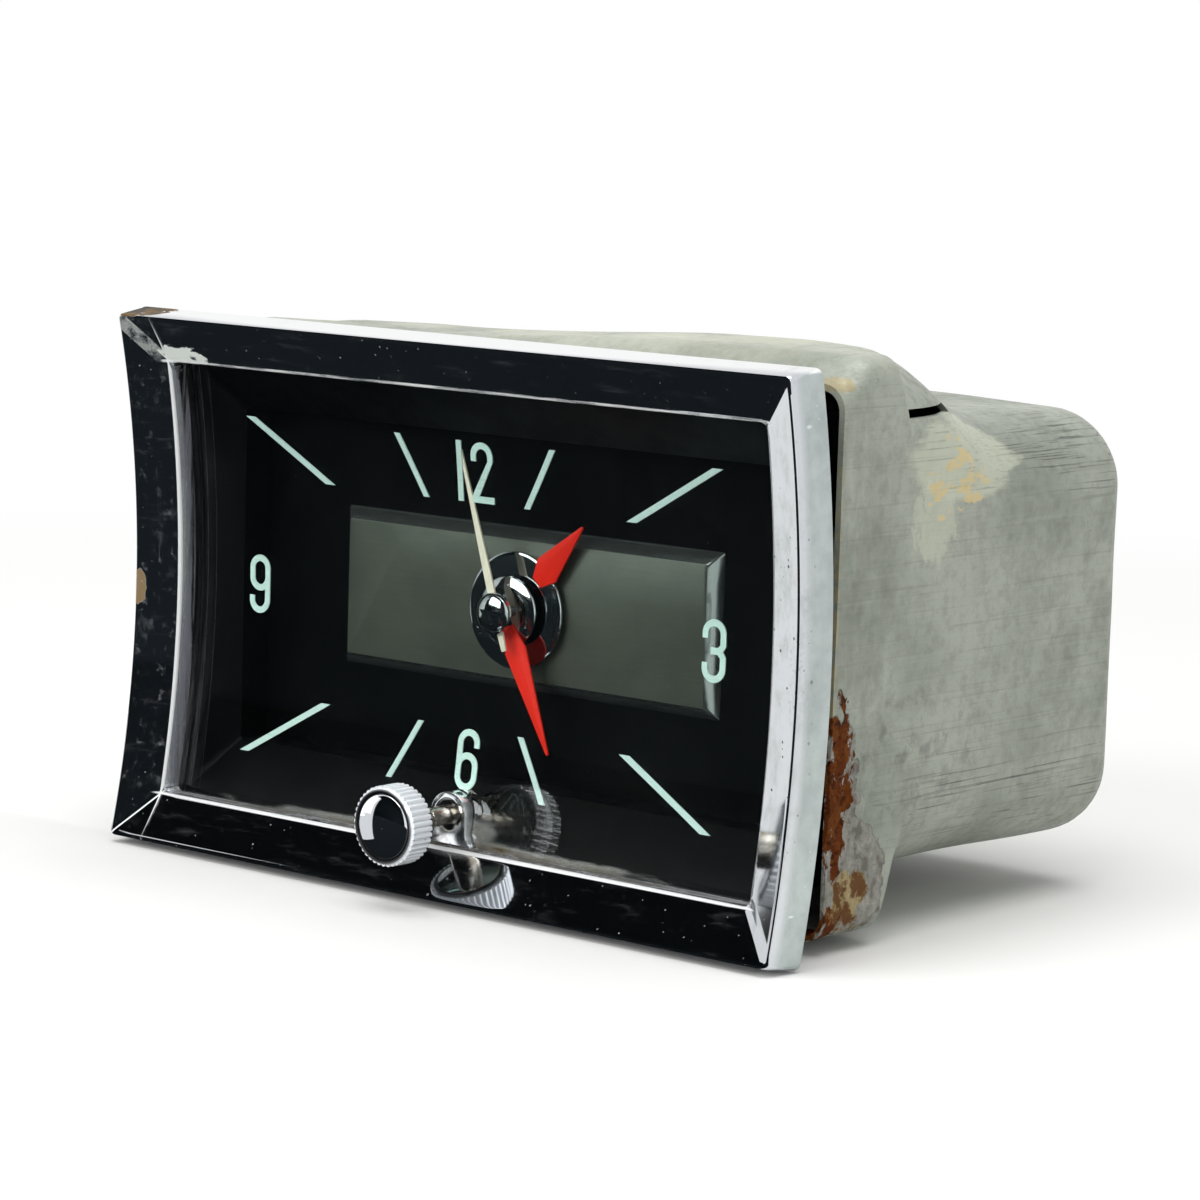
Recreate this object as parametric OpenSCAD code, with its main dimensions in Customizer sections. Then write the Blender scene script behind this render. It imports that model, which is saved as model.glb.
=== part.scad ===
/* [Bezel] */
// Width of the bezel across its front rim, mm
bezel_w = 110.7; // [90:0.1:140]
// Height of the bezel across its front rim, mm
bezel_h = 70; // [55:0.5:90]
// How far the middle of the face is set back behind its top and bottom edges, mm
face_bow = 4.1; // [2:0.1:6]
// Depth of the bezel side wall, mm
bezel_d = 5.6; // [4:0.1:8]
// Growth of the side wall from front to rear on each side, mm
bezel_flare = 0.8; // [0:0.1:1.5]
// Width of the bevel from the outer rim to the window edge, mm
bevel_w = 6.1; // [4:0.1:9]
// Depth of the bevel, mm
bevel_d = 2.6; // [1:0.1:4]
// Flat on the outer rim of the bezel, mm
rim_flat = 0.7; // [0.3:0.1:1.5]
// Depth of the wall between the window edge and the glass, mm
lip_d = 2.6; // [1.5:0.1:4]

/* [Glass and marks] */
// Glass thickness, mm
glass_t = 1.5; // [1:0.1:2.5]
// How far the glass reaches behind the bezel on each side, mm
glass_lap = 1.9; // [1:0.1:2.4]
// Thickness of the paint of the hour marks, mm
mark_t = 0.15; // [0.1:0.01:0.3]
// Width of the hour batons, mm
baton_w = 0.8; // [0.4:0.05:1.5]
// Height above the centre where the batons begin, mm
baton_in = 14.5; // [12:0.1:17]
// Height above the centre where the batons end, mm
baton_out = 22.4; // [19:0.1:25]
// Height of the numerals, mm
num_h = 7.8; // [5:0.1:10]
// Width of a numeral, mm
num_w = 3.6; // [2.5:0.1:5]
// Stroke of the numerals, mm
num_s = 0.85; // [0.5:0.05:1.2]
// Distance of the numerals 3 and 9 from the centre, mm
num_x = 38; // [30:0.1:42]

/* [Dial] */
// Half width of the opening in the mask, mm
mask_x = 46.4; // [40:0.1:48]
// Half height of the opening in the mask, mm
mask_z = 22.6; // [18:0.1:25]
// Depth of the front edge of the mask opening, mm
mask_y = 16.3; // [14:0.1:18]
// Depth of the dial plate, mm
dial_y = 21; // [18:0.1:25]
// Dial plate thickness, mm
dial_t = 0.8; // [0.5:0.1:1.5]
// Width of the raised centre panel, mm
panel_w = 63; // [50:0.5:75]
// Height of the raised centre panel, mm
panel_h = 21.2; // [15:0.1:28]
// Height of the panel above the dial plate, mm
panel_t = 1.65; // [1:0.05:2.5]

/* [Hands] */
// Hour shown at rest, with its fraction
show_hour = 1.4325; // [0:0.0005:12]
// Length of the hour hand, mm
hour_len = 16.3; // [12:0.1:20]
// Length of the minute hand, mm
minute_len = 19.3; // [15:0.1:22]
// Length of the seconds hand, mm
second_len = 21.6; // [15:0.1:23]
// Radius of the hour hand disc, mm
hour_disc_r = 7.7; // [5:0.1:9]
// Radius of the minute hand disc, mm
minute_disc_r = 4.6; // [3:0.1:6]
// Radius of the seconds cap, mm
second_cap_r = 2.7; // [2:0.1:4]
// Greatest half width of the hour hand, mm
hour_half = 2.05; // [1:0.05:3]
// Greatest half width of the minute hand, mm
minute_half = 1.8; // [1:0.05:3]

/* [Setting knob] */
// Knob diameter over the flutes, mm
knob_dia = 10.2; // [8:0.1:13]
// Length of the fluted skirt, mm
knob_len = 4; // [3:0.1:5]
// Number of flutes round the knob
knob_flutes = 40; // [24:1:60]
// Depth of the knob front rim, negative is in front of the bezel, mm
knob_y = -6.7; // [-10:0.1:-4]
// Distance of the stem below the centre, where the window leaves room for its bush, mm
stem_drop = 25; // [24:0.1:26]
// Stem diameter, mm
stem_dia = 2.5; // [2:0.1:3]
// Inward travel of the knob, mm
stem_push = 1.7; // [1:0.1:2]
// Width of the stem bush, mm
bush_w = 5.8; // [4.5:0.1:8]

/* [Case] */
// Width of the case, mm
case_w = 107.6; // [100:0.1:109]
// Depth of the front rim of the case, mm
case_y = 13.3; // [12:0.1:15]
// Depth of the outer face of the case rear, mm
case_end = 79; // [70:0.5:95]
// Height of the front rim top above the centre, mm
rim_top = 33.2; // [32.5:0.1:35]
// Length of the rise from the front rim to the shoulder, mm
rim_rise = 7.5; // [5:0.1:9]
// Height of the shoulder top above the centre, mm
shoulder_top = 36.3; // [35.5:0.1:40]
// Fall of the shoulder top toward the left side, mm
shoulder_dip = 2.2; // [0:0.1:4]
// Depth of the shoulder bottom below the centre, mm
shoulder_bot = 34.3; // [33.5:0.1:40]
// Depth where the shoulder bottom steps up, mm
low_y = 27.2; // [26:0.1:32]
// Depth where the shoulder top begins to step down in the middle, mm
step_y = 35.5; // [32:0.1:38]
// Length of the step from the shoulder to the rear section, mm
step_len = 24.7; // [16:0.1:28]
// How much sooner the step begins at the sides than in the middle, mm
step_lead = 7.6; // [0:0.1:9]
// Width of the band at each side where the step begins sooner, mm
lead_w = 24.4; // [10:0.1:40]
// Height of the rear section above the centre, mm
rear_top = 26.7; // [26:0.1:32]
// Depth of the rear section below the centre, mm
rear_bot = 29.2; // [26:0.1:32]
// Corner radius of the shoulder, mm
shoulder_r = 3.3; // [2.5:0.1:8]
// Corner radius at the step, mm
step_r = 12.8; // [8:0.1:14]
// Corner radius of the rear section, mm
case_r = 9.6; // [6:0.1:10]
// Radius of the rear edge of the case, mm
case_edge_r = 6.2; // [3:0.1:7]
// Sheet thickness of the case, mm
case_t = 0.8; // [0.6:0.1:1.2]
// Crown of the top of the rear section, mm
case_crown = 1.2; // [0:0.1:2]
// Length of the lamp slot at the foot of the step, mm
slot_len = 14; // [8:0.5:16]
// Height of the lamp slot, mm
slot_h = 1.1; // [0.8:0.1:2]

/* [Movement] */
// Width of the movement plates, mm
plate_w = 68; // [66:0.5:80]
// Movement plate thickness, mm
plate_t = 1.5; // [1:0.1:2]
// Depth of the front plate, mm
plate_y = 28; // [27.8:0.1:30]
// Distance between the plates, mm
plate_gap = 16.5; // [16.3:0.1:18]
// Module of the going train, mm
train_m = 0.32; // [0.32:0.005:0.33]
// Radial running clearance of arbors, mm
run = 0.08; // [0.05:0.01:0.1]
// Radius of the winding coil, mm
coil_r = 6.2; // [5.5:0.1:6.5]
// Length of the winding coil, mm
coil_len = 14; // [12:0.5:15]
// Radius of the iron core in the coil, mm
core_r = 2.5; // [2:0.1:3]
// Radius of the lamp socket, mm
lamp_r = 4.6; // [4:0.1:5]
// Length of the lamp socket, mm
lamp_len = 11; // [8:0.5:12]
// Radius of the balance wheel, mm
balance_r = 8.5; // [6:0.1:8.5]

/* [Mounting] */
// Distance between the mounting studs, mm
stud_gap = 60; // [40:1:70]
// Mounting stud diameter, mm
stud_dia = 5; // [4:0.5:6]
// Length of the mounting studs, mm
stud_len = 14; // [8:1:20]

/* [Hidden] */
$fn = 64;
bow_r = (pow(bezel_h / 2, 2) + face_bow * face_bow) / (2 * face_bow);
bow_y = face_bow - bow_r;
win_x = bezel_w / 2 - bevel_w;
win_z = bezel_h / 2 - bevel_w;
glass_d0 = bevel_d + lip_d;
glass_d1 = glass_d0 + glass_t;
glass_x = win_x + glass_lap;
glass_z = win_z + glass_lap;
fit_gap = 0.03;
stem_play = 0.45;
gasket_t = 0.6;
seat_x = glass_x + 0.2;
seat_z = glass_z + 0.2;
seat_d = max(bezel_d, glass_d0 + 0.4) + 0.2;
mask_d = glass_d1 + gasket_t + fit_gap;
mask_t = 1;
tab_x = 30;
tab_w = 6;
tab_t = 0.8;
tab_lap = 1.4;
bez_n = 20;
stem_r = stem_dia / 2;
// The stem keeps its bush clear of the window foot
bush_foot = 0.8;
stem_z = min(stem_drop, win_z - bush_w / 2 - bush_foot);
// The marks keep clear of the stem
mark_clear = 2;
mark_end = min(baton_out, stem_z - mark_clear);
mark_start = baton_in + mark_end - baton_out;
// Wheel train: tooth counts give 60:1 to the seconds, 12:1 to the hours
n_centre = 48;
n_third_p = 6;
n_third = 45;
n_fourth_p = 6;
n_fourth = 48;
n_escape_p = 6;
n_cannon = 10;
n_minute = 30;
n_minute_p = 8;
n_hour = 32;
train_a = train_m * (n_centre + n_third_p) / 2;
third_m = 2 * train_a / (n_third + n_fourth_p);
// Motion work shares one module, set by the reach from the centre to the collar on the setting stem
collar_r = stem_r + 0.4;
collar_t = 0.5;
motion_m = (stem_z - collar_r - 0.2) / (50 + n_minute / 2 + 0.8);
minute_z = -20 * motion_m;
setting_z = -50 * motion_m;
disc_r = collar_r + 0.2 + 3.8 * motion_m;
disc_t = 0.6;
third_pos = [0, train_a];
escape_dir = -20;
escape_pos = [train_a * cos(escape_dir), train_a * sin(escape_dir)];
pallet_pos = [(train_a + 4.9) * cos(escape_dir), (train_a + 4.9) * sin(escape_dir)];
balance_pos = [(train_a + 11.9) * cos(escape_dir), (train_a + 11.9) * sin(escape_dir)];
sec_r = 0.65;
cannon_r = 1.25;
hour_pipe_r = 1.9;
arbor_r = 0.4;
post_r = 0.8;
hour_disc_y = dial_y - panel_t - 1.25;
minute_disc_y = hour_disc_y - 1.75;
hand_t = 0.3;
second_y = minute_disc_y - 2.2;
hour_ang = show_hour * 30;
minute_ang = (show_hour - floor(show_hour)) * 360;
second_ang = (show_hour * 60 - floor(show_hour * 60)) * 360;
plate_b = plate_y + plate_t;
rear_y = plate_b + plate_gap;
rear_b = rear_y + plate_t;
rear_plate_half = 22;
pillar_x = plate_w / 2 - 4;
pillar_z = rear_plate_half - 3.5;
foot_x = plate_w / 2 - 4;
foot_z = mask_z + mask_t + 2.4;
rear_post_x = pillar_x - 3;
rear_post_z = pillar_z - 4.5;
minute_wheel_y = plate_y - 3.4;
hour_wheel_y = minute_wheel_y - 2;
disc_y = minute_wheel_y - 0.1 - stem_push - disc_t;
collar_y = disc_y + disc_t + 0.3;
bush_y0 = 5.6;
bush_y1 = bow_y + sqrt(pow(bow_r + mask_d, 2) - pow(win_z, 2)) - 0.3;
neck_end = bush_y0 - stem_push - 2.5;
coil_x = -25;
coil_y = plate_b + coil_r + 2.3;
yoke_t = 2.5;
yoke_z = coil_len / 2 + 0.5;
lamp_x = case_w / 2 - 11.5;
lamp_z = 17;
lamp_t = 0.6;
bulb_r = 3.2;
lug_half = lamp_r + 0.9;
slot_y = step_y - step_lead - 0.7;
slot_z = rear_top + 1.75;

// The origin is the middle of the stud pattern on the rear face; sizes below count depth from the front rim
module place() {
    translate([0, -case_end, 0]) children();
}

// Extrudes a front-view outline from depth y0 over h
module slab(y0, h) {
    translate([0, y0 + h, 0]) rotate([90, 0, 0]) linear_extrude(height = h) children();
}

// Round bar along the depth, centred at x, z
module bar(x, z, r, y0, y1) {
    translate([x, y1, z]) rotate([90, 0, 0]) cylinder(r = r, h = y1 - y0);
}

// Depth of the bowed face at height z, set back by d
function bow(z, d) = bow_y + sqrt(pow(bow_r + d, 2) - z * z);

// Curved shell that runs parallel to the bowed face between set-backs d0 and d1
module bow_shell(d0, d1, half_x, half_z) {
    intersection() {
        translate([-half_x, -10, -half_z]) cube([2 * half_x, 60, 2 * half_z]);
        difference() {
            translate([-half_x - 2, bow_y, 0]) rotate([0, 90, 0])
                cylinder(r = bow_r + d1, h = 2 * half_x + 4, $fn = 360);
            translate([-half_x - 3, bow_y, 0]) rotate([0, 90, 0])
                cylinder(r = bow_r + d0, h = 2 * half_x + 6, $fn = 360);
        }
    }
}

// One ring of a frame: half sizes ax, az, at set-back d of the bowed face, or at flat depth d
function ring(ax, az, d, bowed) = concat(
    [for (i = [0 : bez_n]) let (z = -az + 2 * az * i / bez_n) [ax, bowed ? bow(z, d) : d, z]],
    [for (i = [0 : bez_n]) let (z = az - 2 * az * i / bez_n) [-ax, bowed ? bow(z, d) : d, z]]);

// Closed frame lofted through a loop of rings
module frame_loft(rings) {
    n = len(rings[0]);
    m = len(rings);
    pts = [for (r = rings) each r];
    quads = [for (j = [0 : m - 1]) for (i = [0 : n - 1]) [j * n + i, j * n + (i + 1) % n,
        ((j + 1) % m) * n + (i + 1) % n, ((j + 1) % m) * n + i]];
    faces = [for (q = quads) each [[q[0], q[2], q[1]], [q[0], q[3], q[2]]]];
    polyhedron(points = pts, faces = faces, convexity = 8);
}

// Gear outline with n straight-flanked teeth of module m, first tooth at angle ph
function gear_pts(n, m, ph) = [for (i = [0 : n - 1]) for (k = [0 : 3])
    let (p = 360 / n, a = ph + p * i + p * [-0.21, -0.1, 0.1, 0.21][k],
        r = m * (n / 2 + (k == 1 || k == 2 ? 0.8 : -1.15))) [r * cos(a), r * sin(a)]];

module gear(n, m, ph) {
    polygon(gear_pts(n, m, ph));
}

// Wheel with four round lightening holes
module wheel(n, m, ph, bore) {
    difference() {
        gear(n, m, ph);
        circle(r = bore);
        for (a = [45 : 90 : 315]) rotate(a) translate([m * n * 0.28, 0]) circle(r = m * n * 0.125);
    }
}

module bezel() {
    hx = bezel_w / 2;
    hz = bezel_h / 2;
    color("#C9CCCF") place() frame_loft([
        ring(hx + bezel_flare, hz + bezel_flare, bezel_d, true),
        ring(hx, hz, 0.4, true),
        ring(hx - 0.25, hz - 0.25, 0, true),
        ring(hx - rim_flat, hz - rim_flat, 0, true),
        ring(win_x + 0.15, win_z + 0.15, bevel_d, true),
        ring(win_x, win_z, bevel_d + 0.2, true),
        ring(win_x, win_z, glass_d0 - 0.02, true),
        ring(seat_x, seat_z, glass_d0 - 0.02, true),
        ring(seat_x, seat_z, seat_d, true)]);
}

// Depth of the bezel rear face above or below the glass seat
function bezel_back(z) = let (z1 = bezel_h / 2 + bezel_flare, y0 = bow(seat_z, seat_d),
    y1 = bow(z1, bezel_d)) y0 + (y1 - y0) * (z - seat_z) / (z1 - seat_z);

module bezel_tabs() {
    z0 = glass_z + 0.8;
    y0 = bezel_back(z0);
    y1 = bow(glass_z - tab_lap, mask_d + mask_t) + fit_gap;
    color("#B9BCBE") place() for (x = [-tab_x, tab_x]) for (s = [0, 1]) mirror([0, 0, s]) {
        translate([x - tab_w / 2, y0, z0]) cube([tab_w, y1 + tab_t - y0, tab_t]);
        translate([x - tab_w / 2, y1, glass_z - tab_lap])
            cube([tab_w, tab_t, z0 + tab_t - glass_z + tab_lap]);
    }
}

// Arch of the stem bush with its flared foot
module bush_outline(grow) {
    a = bush_w / 2 + grow;
    translate([0, -stem_z]) circle(r = a);
    polygon([[-a, -stem_z], [-a, 1.8 - win_z], [-a - 1, -win_z], [-a - 1, -glass_z - 2],
        [a + 1, -glass_z - 2], [a + 1, -win_z], [a, 1.8 - win_z], [a, -stem_z]]);
}

module lens() {
    color("#DCE8E4") place() difference() {
        bow_shell(glass_d0, glass_d1, glass_x, glass_z);
        slab(0, 20) bush_outline(0.15);
    }
}

module lens_gasket() {
    color("#26282A") place() difference() {
        bow_shell(glass_d1 + 0.02, mask_d - fit_gap, glass_x, glass_z);
        translate([-win_x - 0.3, -5, -win_z - 0.3]) cube([2 * win_x + 0.6, 40, 2 * win_z + 0.6]);
    }
}

// Baton along the ray at angle a from twelve, cut level at both ends
module baton(a) {
    d = baton_w / 2 / cos(a);
    polygon([[mark_start * tan(a) - d, mark_start], [mark_start * tan(a) + d, mark_start],
        [mark_end * tan(a) + d, mark_end], [mark_end * tan(a) - d, mark_end]]);
}

module hour_batons() {
    color("#CFEDE4") place() intersection() {
        bow_shell(glass_d1, glass_d1 + mark_t, glass_x, glass_z);
        slab(0, 20) for (s = [0, 1]) mirror([0, s]) for (a = [-60, -30, 30, 60]) baton(a);
    }
}

// Half ring of a numeral, opening to the side a
module hook(r, a) {
    intersection() {
        difference() {
            circle(r = r);
            circle(r = r - num_s);
        }
        rotate(a) translate([-2 * r, 0]) square([4 * r, 2 * r]);
    }
}

module numeral_1() {
    translate([-num_s / 2, -num_h / 2]) square([num_s, num_h]);
}

// Points of an arc about [0, y] from angle a0 to a1 in steps of ten degrees
function arc(y, r, a0, a1) = let (n = round(abs(a1 - a0) / 10))
    [for (i = [0 : n]) let (a = a0 + (a1 - a0) * i / n) [r * cos(a), y + r * sin(a)]];

module numeral_2() {
    r = num_w / 2;
    q = r - num_s;
    y = num_h / 2 - r;
    h = num_h / 2;
    polygon(concat([[-r, y - 0.7]], arc(y, r, 180, 0), [[r, y - 0.6], [-q + 0.3, num_s - h], [r, num_s - h],
        [r, -h], [-r, -h], [-r, num_s - h], [q, y - 0.6]], arc(y, q, 0, 180), [[-q, y - 0.7]]));
}

module numeral_3() {
    r = num_w / 2;
    q = r - num_s;
    y = num_h / 2 - r;
    h = num_s / 2;
    polygon(concat([[-r, y - 0.6]], arc(y, r, 180, 0), [[r, 0.7], [r - 0.45, 0], [r, -0.7]],
        arc(-y, r, 0, -180), [[-r, 0.6 - y], [-q, 0.6 - y]], arc(-y, q, -180, 0),
        [[q, -h - 0.4], [q - 0.4, -h], [-0.5, -h], [-0.5, h], [q - 0.4, h], [q, h + 0.4]],
        arc(y, q, 0, 180), [[-q, y - 0.6]]));
}

module numeral_6() {
    r = num_w / 2;
    y = num_h / 2 - r;
    translate([0, y]) hook(r, 0);
    translate([r - num_s, y - 0.5]) square([num_s, 0.51]);
    translate([-r, -y - 0.01]) square([num_s, 2 * y + 0.02]);
    translate([0, -y]) hook(r, 180);
    translate([0, -y + 1.2]) hook(r, 0);
    translate([r - num_s, -y - 0.01]) square([num_s, 1.22]);
}

module hour_numerals() {
    c = (mark_start + mark_end) / 2;
    color("#CFEDE4") place() intersection() {
        bow_shell(glass_d1, glass_d1 + mark_t, glass_x, glass_z);
        slab(0, 20) {
            translate([-num_w * 0.7, c]) numeral_1();
            translate([num_w * 0.34, c]) numeral_2();
            translate([num_x, 0]) numeral_3();
            translate([0, -c]) numeral_6();
            translate([-num_x, 0]) rotate(180) numeral_6();
        }
    }
}

module stem_bush() {
    color("#C9CCCF") place() difference() {
        intersection() {
            slab(bush_y0, bush_y1 - bush_y0) bush_outline(0);
            translate([-10, -5, -win_z]) cube([20, 30, win_z]);
        }
        bar(0, -stem_z, stem_r + run, 0, 20);
        bar(0, -stem_z, stem_r + 0.9, 0, bush_y0 + 1.2);
    }
}

module dial_mask() {
    ix = win_x - 0.7;
    iz = win_z - 0.5;
    color("#17181A") place() difference() {
        union() {
            frame_loft([
                ring(glass_x, glass_z, mask_d, true),
                ring(ix, iz, mask_d, true),
                ring(mask_x, mask_z, mask_y, false),
                ring(mask_x, mask_z, dial_y, false),
                ring(mask_x + mask_t, mask_z + mask_t, dial_y, false),
                ring(mask_x + mask_t, mask_z + mask_t, mask_y + 0.6, false),
                ring(ix + mask_t, iz + mask_t, mask_d + mask_t, true),
                ring(glass_x, glass_z, mask_d + mask_t, true)]);
            bar(0, -stem_z, stem_r + 1.1, bush_y1 + 0.2, mask_y - 1.5);
        }
        bar(0, -stem_z, stem_r + stem_play, 0, 30);
    }
}

module dial_plate() {
    color("#0E0F11") place() difference() {
        slab(dial_y, dial_t) translate([-mask_x - 2.6, -foot_z - 3.2])
            square([2 * mask_x + 5.2, 2 * foot_z + 6.4]);
        bar(0, 0, hour_pipe_r + 0.6, 0, 40);
        bar(0, -stem_z, stem_r + stem_play, 0, 40);
        for (x = [-foot_x, foot_x]) for (z = [-foot_z, foot_z]) bar(x, z, 1.1, 0, 40);
    }
}

module dial_panel() {
    x = panel_w / 2;
    z = panel_h / 2;
    c = panel_t;
    color("#5F655D") place() difference() {
        polyhedron(points = [[-x, dial_y, -z], [x, dial_y, -z], [x, dial_y, z], [-x, dial_y, z],
            [c - x, dial_y - c, c - z], [x - c, dial_y - c, c - z], [x - c, dial_y - c, z - c],
            [c - x, dial_y - c, z - c]],
            faces = [[0, 3, 2, 1], [4, 5, 6, 7], [0, 1, 5, 4], [1, 2, 6, 5], [2, 3, 7, 6], [3, 0, 4, 7]]);
        bar(0, 0, hour_pipe_r + 0.6, 0, 40);
    }
}

module dial_screws() {
    color("#8F8A78") place() for (x = [-foot_x, foot_x]) for (z = [-foot_z, foot_z]) {
        bar(x, z, 1, dial_y - 0.1, dial_y + dial_t + 3);
        difference() {
            bar(x, z, 1.9, dial_y - 0.9, dial_y);
            translate([x - 3, dial_y - 1, z - 0.2]) cube([6, 0.5, 0.4]);
        }
    }
}

module dial_feet() {
    color("#B99A55") place() for (x = [-foot_x, foot_x]) for (z = [-foot_z, foot_z]) difference() {
        bar(x, z, 2, dial_y + dial_t, plate_y);
        bar(x, z, 1, dial_y, dial_y + dial_t + 3);
    }
}

module plate_outline(half) {
    translate([-plate_w / 2, -half]) square([plate_w, 2 * half]);
}

// Pivot holes common to both plates
module pivots(y0, y1) {
    bar(third_pos[0], third_pos[1], arbor_r + run, y0, y1);
    bar(escape_pos[0], escape_pos[1], arbor_r + run, y0, y1);
    bar(pallet_pos[0], pallet_pos[1], arbor_r + run, y0, y1);
}

module front_plate() {
    color("#BFA25C") place() difference() {
        slab(plate_y, plate_t) plate_outline(foot_z + 2.6);
        bar(0, 0, cannon_r + run, 0, 60);
        bar(0, -stem_z, stem_r + run, 0, 60);
        pivots(0, 60);
        bar(balance_pos[0], balance_pos[1], 0.5 + run, 0, 60);
    }
}

module rear_plate() {
    color("#BFA25C") place() difference() {
        slab(rear_y, plate_t) {
            plate_outline(rear_plate_half);
            translate([plate_w / 2 - 1, lamp_z - lug_half])
                square([lamp_x + lug_half - plate_w / 2 + 1, 2 * lug_half]);
        }
        bar(0, 0, sec_r + run, 0, 80);
        pivots(0, 80);
        bar(balance_pos[0], balance_pos[1], 1.5, 0, 80);
        for (x = [-pillar_x, pillar_x]) for (z = [-pillar_z, pillar_z]) bar(x, z, 1.1, 0, 80);
    }
}

module plate_pillars() {
    color("#B99A55") place() for (x = [-pillar_x, pillar_x]) for (z = [-pillar_z, pillar_z]) difference() {
        bar(x, z, 2.2, plate_b, rear_y);
        bar(x, z, 1, rear_y - 5, rear_y + 1);
    }
}

module pillar_screws() {
    color("#8F949A") place() for (x = [-pillar_x, pillar_x]) for (z = [-pillar_z, pillar_z]) {
        bar(x, z, 1, rear_y - 5, rear_b + 0.1);
        difference() {
            bar(x, z, 2, rear_b, rear_b + 1.2);
            translate([x - 3, rear_b + 0.7, z - 0.25]) cube([6, 1, 0.5]);
        }
    }
}

module wheel_posts() {
    color("#8F949A") place() for (z = [minute_z, setting_z]) {
        bar(0, z, post_r, hour_wheel_y - 0.4, plate_y);
        bar(0, z, post_r + 0.6, minute_wheel_y + 1.3, plate_y);
    }
}

// Share of the step between shoulder and rear section at depth y
function step_share(y, y0, y1) = let (t = min(1, max(0, (y - y0) / (y1 - y0)))) t * t * (3 - 2 * t);

// Height of the case top at depth y and side distance x
function top_at(y, x) = let (lead = step_lead * step_share(abs(x), case_w / 2 - lead_w, case_w / 2))
    rim_top + (shoulder_top - rim_top) * step_share(y, case_y, case_y + rim_rise)
        + (rear_top - shoulder_top) * step_share(y + lead, step_y, step_y + step_len);

// Rounded outline of the case with n points per corner and m along top and bottom
// The top takes a crown c, dips by d toward the left side and follows top_at across its width
function case_ring(y, a, zt, zb, r, c, d) = let (n = 6, m = 10, p = concat(
    [for (i = [0 : n]) let (t = 90 * i / n) [a - r + r * cos(t), zt - r + r * sin(t)]],
    [for (i = [1 : m - 1]) [(a - r) * (1 - 2 * i / m), zt]],
    [for (i = [0 : n]) let (t = 90 + 90 * i / n) [-a + r + r * cos(t), zt - r + r * sin(t)]],
    [for (i = [0 : n]) let (t = 180 + 90 * i / n) [-a + r + r * cos(t), -zb + r + r * sin(t)]],
    [for (i = [1 : m - 1]) [(a - r) * (2 * i / m - 1), -zb]],
    [for (i = [0 : n]) let (t = 270 + 90 * i / n) [a - r + r * cos(t), -zb + r + r * sin(t)]]))
    [for (q = p) let (k = max(0, q[1] / zt)) [q[0], y, q[1] + k * (c * (1 - pow(q[0] / a, 2))
        + top_at(y, q[0]) - top_at(y, 0) - d * step_share(-q[0], -case_w / 4, case_w / 4))]];

// Outline at depth y, t inside the outer face
function case_at(y, t) = let (i = max(0, y - (case_end - case_edge_r)), er = case_edge_r - t,
    in = i > 0 ? er - sqrt(max(0, er * er - i * i)) : 0, g = t + in,
    st = step_share(y, step_y, step_y + step_len), sb = step_share(y, low_y - 1, low_y + 6),
    r = shoulder_r + (step_r - shoulder_r) * step_share(y, step_y - 15, step_y - 3.7)
        + (case_r - step_r) * step_share(y, step_y + 9, case_end - case_edge_r))
    case_ring(y, case_w / 2 - g, top_at(y, 0) - g, shoulder_bot + (rear_bot - shoulder_bot) * sb - g,
        max(1, r - g), case_crown * st, shoulder_dip * (1 - st));

module case_can() {
    b = case_end - case_edge_r;
    s1 = case_y + rim_rise;
    s0 = concat([for (i = [0 : 4]) case_y + rim_rise * i / 4],
        [for (i = [1 : 20]) s1 + (step_y + step_len - s1) * i / 20], [b - 6, b]);
    e_out = [for (a = [18 : 18 : 90]) b + case_edge_r * sin(a)];
    e_in = [for (a = [18 : 18 : 90]) b + (case_edge_r - case_t) * sin(a)];
    outer = [for (y = concat(s0, e_out)) case_at(y, 0)];
    inner = [for (y = concat(s0, e_in)) case_at(y, case_t)];
    n = len(outer[0]);
    k = len(outer);
    pts = concat([for (r = outer) each r], [for (r = inner) each r]);
    o = k * n;
    skin = [for (j = [0 : k - 2]) for (i = [0 : n - 1]) let (a = j * n + i, b = j * n + (i + 1) % n)
        each [[a, a + n, b + n], [a, b + n, b], [o + a, o + b + n, o + a + n], [o + a, o + b, o + b + n]]];
    lip = [for (i = [0 : n - 1]) let (b = (i + 1) % n) each [[i, b, o + b], [i, o + b, o + i]]];
    caps = [[for (i = [0 : n - 1]) (k - 1) * n + n - 1 - i], [for (i = [0 : n - 1]) o + (k - 1) * n + i]];
    color("#A3A598") place() difference() {
        polyhedron(points = pts, faces = concat(skin, lip, caps), convexity = 10);
        translate([case_w / 2 - 9, slot_y, slot_z]) cube([12, slot_len, slot_h]);
        for (x = [-rear_post_x, rear_post_x]) bar(x, rear_post_z, 1.6, case_end - 5, case_end + 5);
        bar(0, -14, 3, case_end - 5, case_end + 5);
    }
}

module rear_posts() {
    color("#8F949A") place() for (x = [-rear_post_x, rear_post_x]) difference() {
        bar(x, rear_post_z, 2.5, rear_b, case_end - case_t);
        bar(x, rear_post_z, 1.5, case_end - case_t - 8, case_end);
    }
}

module case_screws() {
    color("#8F949A") place() for (x = [-rear_post_x, rear_post_x]) {
        bar(x, rear_post_z, 1.5, case_end - case_t - 8, case_end + 0.1);
        difference() {
            bar(x, rear_post_z, 3, case_end, case_end + 2);
            translate([x - 4, case_end + 1.2, rear_post_z - 0.4]) cube([8, 1, 0.8]);
        }
    }
}

module mounting_studs() {
    color("#B0B3B0") place() for (x = [-stud_gap / 2, stud_gap / 2])
        bar(x, 0, stud_dia / 2, case_end, case_end + stud_len);
}

module terminal_post() {
    color("#C2A45A") place() {
        bar(0, -14, 1.9, case_end - 5, case_end + 12);
        bar(0, -14, 3.6, case_end - 5, case_end - 3.4);
    }
}

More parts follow.
